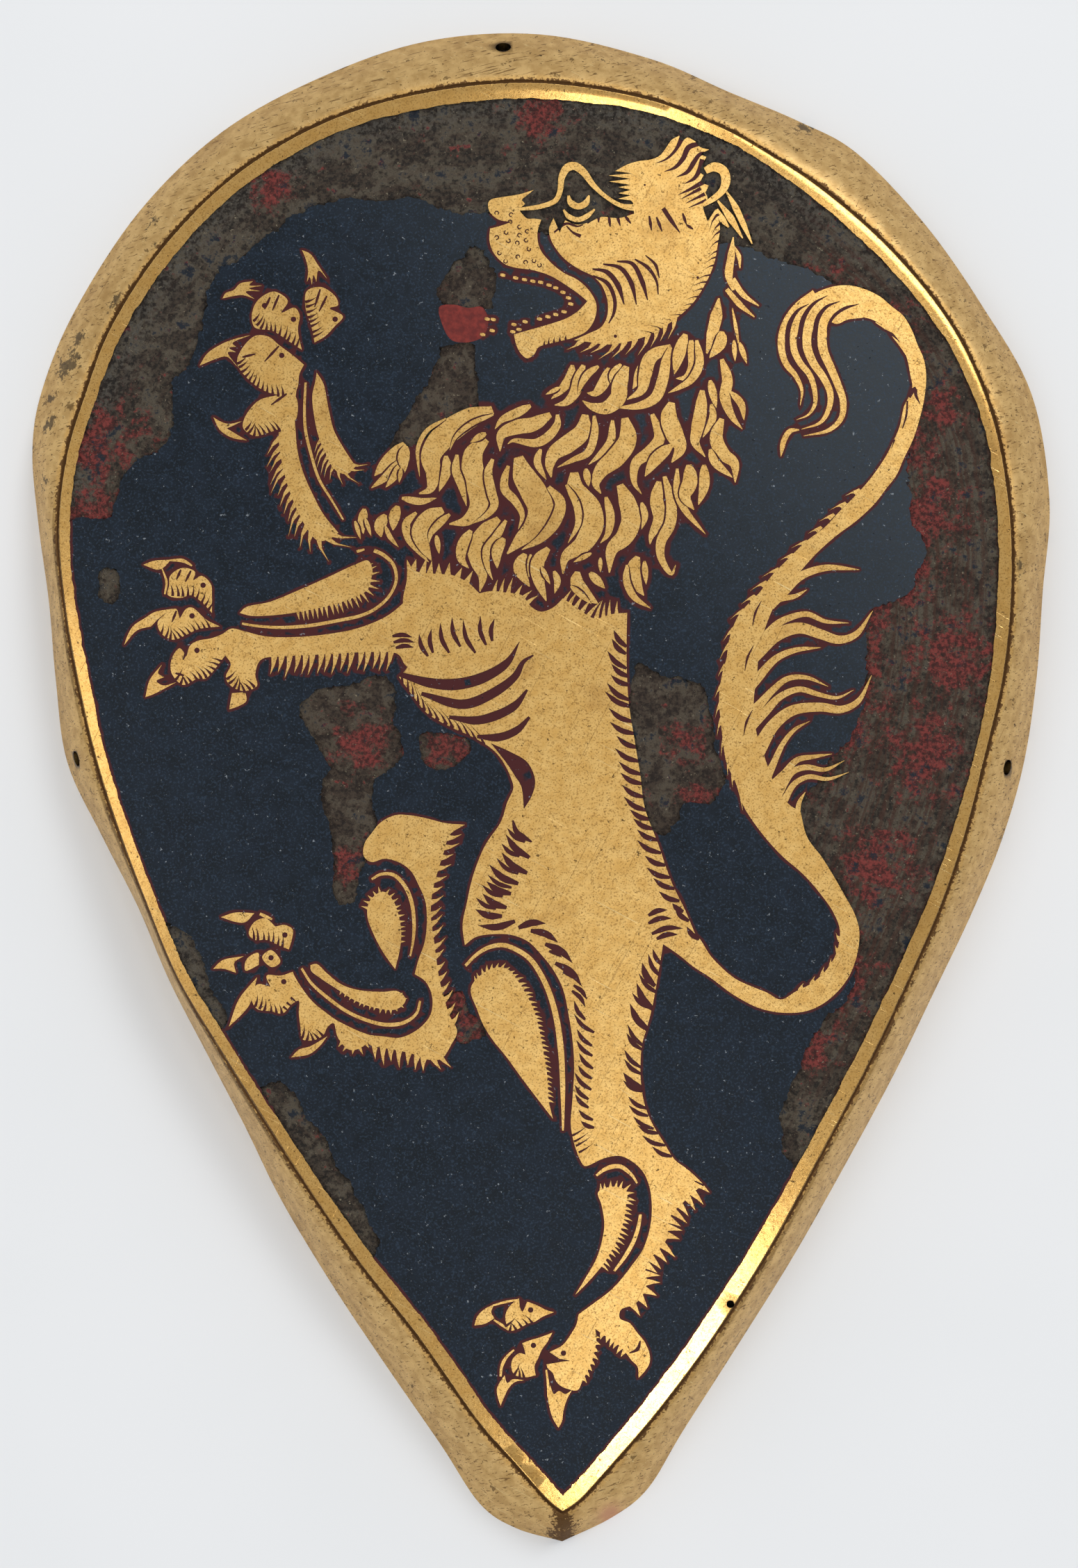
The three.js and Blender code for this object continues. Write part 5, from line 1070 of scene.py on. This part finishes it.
def hammered(x, y):
    """Slow unevenness of the sheet: a bent wave across times a wave upwards, with a slanting wave added."""
    crossed = np.sin(x / 4.1 + 0.7 * np.sin(y / 6.5)) * np.sin(y / 5.3)
    return HAMMER_DEPTH * (crossed + 0.6 * np.sin((x + y) / 3.7))


# Rings of the rim and the back, each as the spokes' places in plan and their heights
PLATE_THICKNESS, RIM_THICKNESS, HOLLOW_DEPTH = 2.4, 1.8, 1.0
rim_width = np.linalg.norm(foot - bend, axis=1)
way_out = (foot - bend) / rim_width[:, None]
bend_height = face_height(bend[:, 0], bend[:, 1])
roll = curve(RIM_ROLL, 0.02)
# Distance beyond the fillet, share of the line's depth, and how dark it is there
GROOVE_PLACES = [(0.12, 0.0, 0.45), (0.3, 0.8, 0.9), (0.5, 1.0, 1.0), (0.8, 0.2, 0.6), (1.3, 0.0, 0.25)]
turn = np.arange(SPOKES) * 2 * np.pi / SPOKES
rings, rim_share, groove_share = [], [], []


def add_ring(plan, height, on_rim=1.0, in_groove=0.0):
    """One more ring, with how far it counts as rim and as the dirty line."""
    rings.append(np.column_stack([plan, height]))
    rim_share.append(on_rim)
    groove_share.append(in_groove)


def roll_height(across):
    """Height of the rim's outer face at each distance beyond the bend."""
    return bend_height * (1 - np.interp(across / rim_width, roll[:, 0], roll[:, 1]))


# The line beside the fillet, narrower where the rim is; then the outer face, with a slight sway
WIDE_RIM, SWAY = 4, 0.14
narrow = np.minimum(1, rim_width / WIDE_RIM)
for across, depth, dark in GROOVE_PLACES:
    out = across * narrow
    add_ring(bend + way_out * out[:, None], roll_height(out) - GROOVE_DEPTH * depth * narrow, 0.5, dark)
first_out = GROOVE_PLACES[-1][0] * narrow
OUTER_SHARES = (0.06, 0.14, 0.23, 0.33, 0.43, 0.53, 0.63, 0.73, 0.82, 0.9, 0.96, 1.0)
for share in OUTER_SHARES:
    out = first_out + (rim_width - first_out) * share
    sway = SWAY * np.sin(np.pi * share) * (np.sin(9 * turn + 3 * share) + np.sin(23 * turn + 1.3))
    height = roll_height(out) + sway if share < 1 else np.zeros(SPOKES)
    add_ring(bend + way_out * out[:, None], height)
outer_count = len(rings)
# The crease at the point, drawn darker, the inner face of the rim, and the back of the dome
from_tip = np.minimum(np.arange(SPOKES), SPOKES - np.arange(SPOKES))
CREASE_REACH, RIM_SAG = 3.2, 0.9
crease = np.exp(-((from_tip / CREASE_REACH) ** 2))
INNER_SHARES = (1.0, 0.93, 0.82, 0.7, 0.56, 0.42, 0.28, 0.14)
for share in INNER_SHARES:
    drop = np.interp(share, roll[:, 0], roll[:, 1])
    plan = bend + (foot - bend) * share - outward * RIM_THICKNESS
    add_ring(plan, bend_height * (1 - drop) - RIM_SAG * (1 - drop) if share < 1 else np.zeros(SPOKES))
pole = np.array([0.0, 10.0])
BACK_SHARES = (0.965, 0.92, 0.86, 0.78, 0.7, 0.6, 0.5, 0.4, 0.3, 0.2, 0.1)
for share in BACK_SHARES:
    plan = pole + (bend - outward * 2 - pole) * share
    add_ring(plan, face_height(plan[:, 0], plan[:, 1]) - PLATE_THICKNESS + hammered(plan[:, 0], plan[:, 1]))

# The face is the drawing at its own height where metal stands and a hollow's depth below it elsewhere, with a
# wall between. Its edge is sewn to the first ring, and a fan closes the back.
count = len(flat)
ring_start = np.argmin(np.linalg.norm(flat[None] - bend[:, None], axis=2), axis=1)
spoke = np.arange(SPOKES)
numbers = [ring_start] + [2 * count + i * SPOKES + spoke for i in range(len(rings))]
rim_quads = np.vstack([
    np.column_stack([a, np.roll(a, -1), np.roll(b, -1), b]) for a, b in zip(numbers, numbers[1:])
])
pole_number = 2 * count + len(rings) * SPOKES
fan = np.column_stack([numbers[-1], np.roll(numbers[-1], -1), np.full(SPOKES, pole_number)])
metal, sunk = cells[cell_kind == GOLD], cells[cell_kind != GOLD]
run = directed_edges(metal).astype(np.int64)
beside = directed_edges(sunk).astype(np.int64)
walls = run[np.isin(run[:, 0] * count + run[:, 1], beside[:, 1] * count + beside[:, 0])]
wall_quads = np.column_stack([walls[:, 0], walls[:, 0] + count, walls[:, 1] + count, walls[:, 1]])
plate_points = np.vstack([
    np.column_stack([flat, face]), np.column_stack([flat, face - HOLLOW_DEPTH]), *rings,
    [[*pole, face_height(*pole) - PLATE_THICKNESS]],
])
plate_triangles = np.vstack([metal, sunk + count, fan])
plate_quads = np.vstack([wall_quads, rim_quads])
on_plate = {name: np.zeros(len(plate_points)) for name in PLATE_NUMBERS}
on_plate["on_rim"][2 * count : -1] = np.repeat(rim_share, SPOKES)
darker_in_line_and_crease = np.maximum(np.repeat(groove_share, SPOKES), 0.85 * np.tile(crease, len(rings)))
on_plate["in_groove"][2 * count : -1] = darker_in_line_and_crease
on_edge = nearest(flat, shapes[0][1], 1.0) < 0.01
on_plate["on_fillet"][:count] = ~covers(shapes[0][1], flat) | on_edge
RUBBED_PLACE, RUBBED_SIZE = np.array([12.6, -131.2]), 1.9
from_rubbed = (((plate_points[:, :2] - RUBBED_PLACE) / RUBBED_SIZE) ** 2).sum(axis=1)
on_plate["rubbed"] = np.minimum(1.4 * np.exp(-from_rubbed), 1)
# Dark smudges on the rim, each its place and its reach; they are drawn out along the rim
SMUDGES = [
    (-70.4, 101.5, 1.1), (-85.2, 76, 2.4), (-88.2, 70.3, 0.9), (-88.4, 65.7, 1.3), (-89.3, 55, 1.0),
    (-67.6, 98.5, 1.3), (-76.3, 87.7, 1.5), (-83, 81, 1.6), (-48, -84, 1.8), (-41, -96, 1.5),
    (-30, -108, 2.0), (-66, -52, 1.5), (78, 74, 2.0), (83, 56, 1.7), (86, 40, 1.5), (84, -10, 1.8),
    (44, -92, 1.6), (31, -112, 1.6), (20, 133, 1.6), (48, 119, 1.5),
]
for x, y, reach in SMUDGES:
    off = (plate_points[:, :2] - (x, y)) / reach
    out = np.array([x, y]) / np.hypot(x, y)
    across, along = off @ out, off @ (-out[1], out[0])
    smudged = np.exp(-(across**2) * 1.6 - along**2 * 0.4)
    on_plate["smudge"] = np.maximum(on_plate["smudge"], smudged)
used = np.unique(np.concatenate([plate_triangles.ravel(), plate_quads.ravel()]))
renumber = np.zeros(len(plate_points), int)
renumber[used] = np.arange(len(used))
corners = renumber[plate_triangles], renumber[plate_quads]
plate = solid("gilt_plate", plate_points[used], *corners, [gilding, bare_copper], sharp=18)
for name, values in on_plate.items():
    give(plate, name, values[used])
on_back = np.zeros(len(plate.data.polygons), np.int32)
if len(on_back) == len(plate_triangles) + len(plate_quads):
    on_back[len(metal) + len(sunk) : len(plate_triangles)] = 1
    on_back[len(plate_triangles) + len(wall_quads) + (outer_count + 1) * SPOKES :] = 1
    plate.data.polygons.foreach_set("material_index", on_back)

# Three nail holes through the rim and one small pin hole through the fillet, drilled with plain round bores
NAIL_HOLES = [(22.66, 0.72, 48), (12.02, 0.66, 68), (34.1, 0.62, 60)]  # station, share of the rim, tilt
NAIL_RADIUS, PIN_RADIUS, BORE_DEPTH = 1.4, 0.7, 14
PIN_X, PIN_Y = 34.1, -92.8
ROLL_POWER = 1.8  # the rim falls about as this power of the share of its width
bores = bmesh.new()


def bore(x, y, z, radius, tilt, heading):
    """A cylinder round a place, tilted in degrees from upright towards a heading in radians."""
    turn = Matrix.Rotation(heading, 4, "Z") @ Matrix.Rotation(math.radians(tilt), 4, "Y")
    place = Matrix.Translation((x * MM, y * MM, z * MM)) @ turn
    size = {"radius1": radius * MM, "radius2": radius * MM, "depth": BORE_DEPTH * MM}
    bmesh.ops.create_cone(bores, cap_ends=True, segments=24, matrix=place, **size)


for station, share, tilt in NAIL_HOLES:
    edge_x, edge_y, foot_x, foot_y, fillet = around_rim(100 * len(RIM_STATIONS))[round(station * 100)]
    heading = math.atan2(foot_y - edge_y, foot_x - edge_x)
    bend_x, bend_y = edge_x + fillet * math.cos(heading), edge_y + fillet * math.sin(heading)
    height = float(face_height(bend_x, bend_y)) * (1 - share**ROLL_POWER)
    x, y = bend_x + (foot_x - bend_x) * share, bend_y + (foot_y - bend_y) * share
    bore(x, y, height, NAIL_RADIUS, tilt, heading)
bore(PIN_X, PIN_Y, float(face_height(PIN_X, PIN_Y)), PIN_RADIUS, 0, 0)
cutter_mesh = bpy.data.meshes.new("bores")
bores.to_mesh(cutter_mesh)
cutter = bpy.data.objects.new("bores", cutter_mesh)
bpy.context.scene.collection.objects.link(cutter)
cut = plate.modifiers.new("bores", "BOOLEAN")
cut.operation, cut.solver, cut.object = "DIFFERENCE", "EXACT", cutter
bored = bpy.data.meshes.new_from_object(plate.evaluated_get(bpy.context.evaluated_depsgraph_get()))
plate.modifiers.clear()
plate.data = bored
bored.name = "gilt_plate"
bpy.data.objects.remove(cutter)
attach(plate, "root")
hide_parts("copper_plate")

# The blue enamel
# Opaque glass, fused into the hollows and ground level with the metal: near black-blue, shining softly, with
# pale specks and fine pits. Beside the metal it turned brown-red in the kiln, for about half a millimetre.
blue_glass, tree, body, where = material("opaque_blue_enamel", Specular_IOR_Level=0.16)
halo = add(tree, "Attribute", attribute_name="halo").outputs["Fac"]
cloud, grain = mottle(tree, where, 3.5, 5, 0.65), mottle(tree, where, 0.45, 3, 0.6)
fine_grain = mottle(tree, where, 0.4, 2, 0.6, 0.5, 0.68)
specks = mottle(tree, where, 0.9, 3, 0.7, 0.665, 0.72)
holes = mottle(tree, where, 1.0, 2, 0.6, 0.7, 0.74)
# Painted sheen: the blue is tinted lighter grey towards the upper right, where a lamp's reflection falls
place = add(tree, "SeparateXYZ", {"Vector": where})
painted_sheen_to_upper_right = total(tree, 0.0, (place.outputs[0], 5.0), (place.outputs[1], 4.0))
tone = tint(tree, "#0b141c", "#131d28", (cloud, 0.35, 0.65))
tone = tint(tree, tone, "#30363b", (painted_sheen_to_upper_right, 0.1, 0.7))
tone = tint(tree, tone, "#2d3c4d", fine_grain, 0.55)
tone = tint(tree, tone, "#43191a", (total(tree, -0.25, (halo, 1.0), (cloud, 0.5)), 0.62, 0.8))
tone = tint(tree, tone, "#8b9298", specks, 0.7)
tone = tint(tree, tone, "#14171d", holes, 0.8)
height = total(tree, cloud, (grain, 0.15), (holes, -0.5))
finish(tree, body, tone, height, 0.08, total(tree, 0.3, (cloud, 0.25)))


def slab(name, triangles, top, bottom, materials):
    """A closed body over the given triangles of the drawing, between two heights for each point."""
    used, local = np.unique(triangles, return_inverse=True)
    local = local.reshape(-1, 3)
    layer = len(used)
    edge = open_edges(local, layer)
    points = np.vstack([np.column_stack([flat[used], level[used]]) for level in (top, bottom)])
    sides = np.column_stack([edge[:, 0], edge[:, 0] + layer, edge[:, 1] + layer, edge[:, 1]])
    piece = solid(name, points, np.vstack([local, local[:, ::-1] + layer]), sides, materials)
    return piece, np.tile(used, 2)


def areas(triangles):
    """Numbers the patches of triangles that touch along edges: each takes the lowest number it can reach."""
    run = directed_edges(triangles).astype(np.int64)
    owner = np.tile(np.arange(len(triangles)), 3)
    key = np.minimum(run[:, 0], run[:, 1]) * count + np.maximum(run[:, 0], run[:, 1])
    order = np.argsort(key, kind="stable")
    same = key[order][1:] == key[order][:-1]
    a, b = owner[order][1:][same], owner[order][:-1][same]
    label = np.arange(len(triangles))
    while True:
        low = np.minimum(label[a], label[b])
        lower = label.copy()
        np.minimum.at(lower, label[a], low)
        np.minimum.at(lower, label[b], low)
        lower = lower[lower[lower]]
        if (lower == label).all():
            return label
        label = lower


FLOOR_CLEARANCE, GLASS_DROP = 0.02, 0.06  # above the hollow's floor, and below the metal
floor_level = face - HOLLOW_DEPTH + FLOOR_CLEARANCE
glass_cells, glass_middles = cells[cell_kind == FIELD], middles[cell_kind == FIELD]
patch = areas(glass_cells)
# The brown-red edge is drawn as a number that falls from 1 at the metal; it reaches twice as far in the mane
HALO_REACH, MANE_CENTRE, MANE_SIZE = 1.6, (4, 56), (26, 24)
in_mane = np.exp(-(((flat - MANE_CENTRE) / MANE_SIZE) ** 4).sum(axis=1))
halo_of = np.clip(1 - to_metal / (HALO_REACH + HALO_REACH * in_mane), 0, 1)
# The areas that are large enough to be bodies of their own, each with a place in it
enamel_areas = {
    "left": (-60, 0), "below": (-20, -70), "mouth": (0, 87), "between_mane_and_tail": (35, 60),
    "tail_outside": (60, 45), "tail_loop": (40, -20), "right": (35, -60),
}
owners = {}
for area, place in enamel_areas.items():
    closest = np.argmin(np.linalg.norm(glass_middles - np.array(place), axis=1))
    owners.setdefault(patch[closest], []).append(area)
for label, names in owners.items():
    glass = glass_cells[patch == label]
    piece, used = slab("enamel_" + names[0], glass, face - GLASS_DROP, floor_level, [blue_glass])
    give(piece, "halo", halo_of[used])
    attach(piece, "root")
    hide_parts(*("blue_enamel_" + name for name in names))

# The same enamel in the engraved lines and in the small gaps between locks. It is too narrow to be ground
# well, so it lies a little lower than the metal.
LINE_DROP = 0.12
thin = np.vstack([glass_cells[~np.isin(patch, list(owners))], cells[cell_kind == LINE]])
piece, used = slab("enamel_in_the_lines", thin, face - LINE_DROP, floor_level, [blue_glass])
give(piece, "halo", halo_of[used])
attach(piece, "root")

# What is left of the tongue: opaque brick-red enamel, fused into its own small hollow before the mouth, now
# dull and worn
TONGUE_DROP = 0.15
red_glass, tree, body, where = material("opaque_red_enamel", Specular_IOR_Level=0.25, Roughness=0.42)
cloud = mottle(tree, where, 1.2, 4, 0.6)
finish(tree, body, tint(tree, "#5e1c18", "#7c2a22", (cloud, 0.35, 0.7)), cloud, 0.08)
piece, used = slab("enamel_tongue", cells[cell_kind == RED], face - TONGUE_DROP, floor_level, [red_glass])
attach(piece, "root")
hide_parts("red_enamel_tongue")

# Where the enamel fell out, a rough crust is left on the floor of the hollow: grey-brown remains of glass and
# dirt, with patches of the red underlayer and grains of blue
crust, tree, body, where = material("rough_enamel_remains", Specular_IOR_Level=0.25, Roughness=0.7)
red_layer, right_side, painted_sheen_band, from_rim = (
    add(tree, "Attribute", attribute_name=name).outputs["Fac"]
    for name in ("red_layer", "right_side", "painted_sheen_band", "from_rim")
)
cloud, grain = mottle(tree, where, 4, 7, 0.72), mottle(tree, where, 0.8, 4, 0.7)
dots, blue_grains = mottle(tree, where, 2.0, 2, 0.5, 0.66, 0.72), mottle(tree, where, 4, 5, 0.75, 0.56, 0.66)
pale_grains = mottle(tree, where, 0.7, 3, 0.7, 0.64, 0.73)
# Streaks that run along the border, as bands of one noise over the distance from it
banded = {"W": total(tree, from_rim, (cloud, 2.5)), "Scale": 1.1, "Detail": 2.0}
streaks = add(tree, "TexNoise", banded, noise_dimensions="1D").outputs[0]
tone = tint(tree, "#211d19", "#433a30", (grain, 0.4, 0.6))
tone = tint(tree, tone, "#574f42", (cloud, 0.47, 0.57))
tone = tint(tree, tone, "#41291f", (streaks, 0.42, 0.62), total(tree, 0.15, (right_side, 0.55)))
# Painted sheen: a pale grey band on the crust along the border in the upper left, where it catches the light
tone = tint(tree, tone, "#5a5c58", painted_sheen_band, (grain, 0.45, 0.6), 0.35)
redness = total(tree, mottle(tree, where, 3.4, 7, 0.76), (red_layer, 0.24))
reddened = {"Value": redness, "From Min": 0.6, "From Max": 0.72}
reddened = add(tree, "MapRange", reddened, interpolation_type="SMOOTHSTEP").outputs[0]
reddest = {0: reddened, 1: total(tree, 0.0, (dots, 0.9))}
reddest = add(tree, "Math", reddest, operation="MAXIMUM").outputs[0]
tone = tint(tree, tone, tint(tree, "#40201d", "#7e3833", (grain, 0.4, 0.6)), reddest)
tone = tint(tree, tone, "#20262e", blue_grains)
tone = tint(tree, tone, "#857b66", pale_grains)
finish(tree, body, tone, total(tree, grain, (cloud, 1.5)), 0.6)
CRUST_DROP, LEAST_DROP, MOST_DROP = 0.62, 0.3, 0.92
rough_top = wiggle_rng.normal(0, 0.12, len(flat)) + 0.1 * np.sin(flat[:, 0] / 1.7) * np.sin(flat[:, 1] / 1.4)
crust_top = face - np.clip(CRUST_DROP - rough_top, LEAST_DROP, MOST_DROP)
piece, used = slab("enamel_remains", cells[cell_kind == LOSS], crust_top, floor_level, [crust])
# Where the red underlayer shows most, each its place and its reach; on the right it also shows near the glass
RED_PLACES = [
    (0, 121, 6), (-49, 108, 5), (70, 68, 6), (-80, 62, 9), (-80, 48, 7), (68, 50, 9), (74, 24, 9), (69, 6, 9),
    (60, -14, 8), (-32, 8, 6), (-34, -14, 4), (-17, 6.5, 5), (26, 8, 4), (28, -3, 4), (48, -46, 5),
    (-14, -41, 6),
]
GLASS_REACH = 8.0
near_glass = 1 - nearest(flat[used], flat[np.unique(glass_cells)], GLASS_REACH) / GLASS_REACH
red = [np.exp(-((flat[used] - (x, y)) ** 2).sum(axis=1) / reach**2) for x, y, reach in RED_PLACES]
right_side = np.clip((flat[used, 0] - 45) / 10, 0, 1)
from_rim = nearest(flat[used], shapes[0][1][::2], 30.0)
upper_left = np.clip((60 - flat[used, 0] + flat[used, 1]) / 60 - 1, 0, 1)
give(piece, "right_side", right_side)
give(piece, "red_layer", np.maximum(np.max(red, axis=0), 0.8 * right_side * near_glass))
# The painted sheen is strongest at the border and fades over about 4 mm, in the upper left only
give(piece, "painted_sheen_band", np.clip(1.4 - from_rim / 4, 0, 1) * upper_left)
give(piece, "from_rim", from_rim)
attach(piece, "root")

# The floor that the shield lies on: a pale plain sheet, 4 m wide, so that its edges are out of sight. Broad,
# faint clouds keep it from looking painted.
paper, tree, body, where = material("pale_paper", Roughness=0.9)
tone = tint(tree, "#dfe1e2", "#e5e6e7", mottle(tree, where, 60, 2, 0.5))
tree.links.new(tone, body.inputs["Base Color"])
floor_mesh = bpy.data.meshes.new("floor")
floor_mesh.from_pydata([(-2, -2, 0), (2, -2, 0), (2, 2, 0), (-2, 2, 0)], [], [(0, 1, 2, 3)])
floor_mesh.materials.append(paper)
floor = bpy.data.objects.new("floor", floor_mesh)
bpy.context.scene.collection.objects.link(floor)

# Soft light from all round, a broad lamp to the upper right, a weaker one to the left, and two narrow ones
# over the point and over the top, which give the glints on the fillet
world = bpy.data.worlds.new("soft_studio")
bpy.context.scene.world = world
world.use_nodes = True
world.node_tree.nodes["Background"].inputs["Color"].default_value = linear("#edeef0")
world.node_tree.nodes["Background"].inputs["Strength"].default_value = 0.8


def lamp(name, place, length, width, power, along=(1, 0, 0)):
    """A rectangular lamp that looks at the shield, its long side as near as can be to the given direction."""
    light = bpy.data.lights.new(name, "AREA")
    light.shape, light.size, light.size_y, light.energy = "RECTANGLE", length, width, power
    holder = bpy.data.objects.new(name, light)
    back = Vector(place).normalized()
    side = back.cross(Vector(along)).normalized()
    turned = Matrix((side.cross(back), side, back)).transposed().to_4x4()
    holder.matrix_world = Matrix.Translation(place) @ turned
    bpy.context.scene.collection.objects.link(holder)


lamp("broad_upper_right", (1.1, 1.2, 1.8), 0.9, 0.9, 16)
lamp("broad_left", (-1.25, -0.3, 1.7), 1.0, 1.0, 6)
lamp("glint_lower_right", (0.251, -0.671, 1.9), 0.38, 0.14, 3.2, (0.82, 0.58, 0))
lamp("glint_top", (0.17, 0.86, 1.9), 0.24, 0.16, 1.2)

# The camera looks straight down from 3 m, as if at a shield laid on paper
camera_data = bpy.data.cameras.new("camera")
camera = bpy.data.objects.new("camera", camera_data)
DISTANCE, VIEW_HEIGHT, SENSOR_MM = 3.0, 0.2821, 36
camera_data.lens = SENSOR_MM * DISTANCE / VIEW_HEIGHT
camera_data.clip_end = 20
camera.location = (-0.0003, 0.0007, DISTANCE + 0.01)
bpy.context.scene.collection.objects.link(camera)
bpy.context.scene.camera = camera
bpy.context.scene.view_settings.view_transform = "Standard"
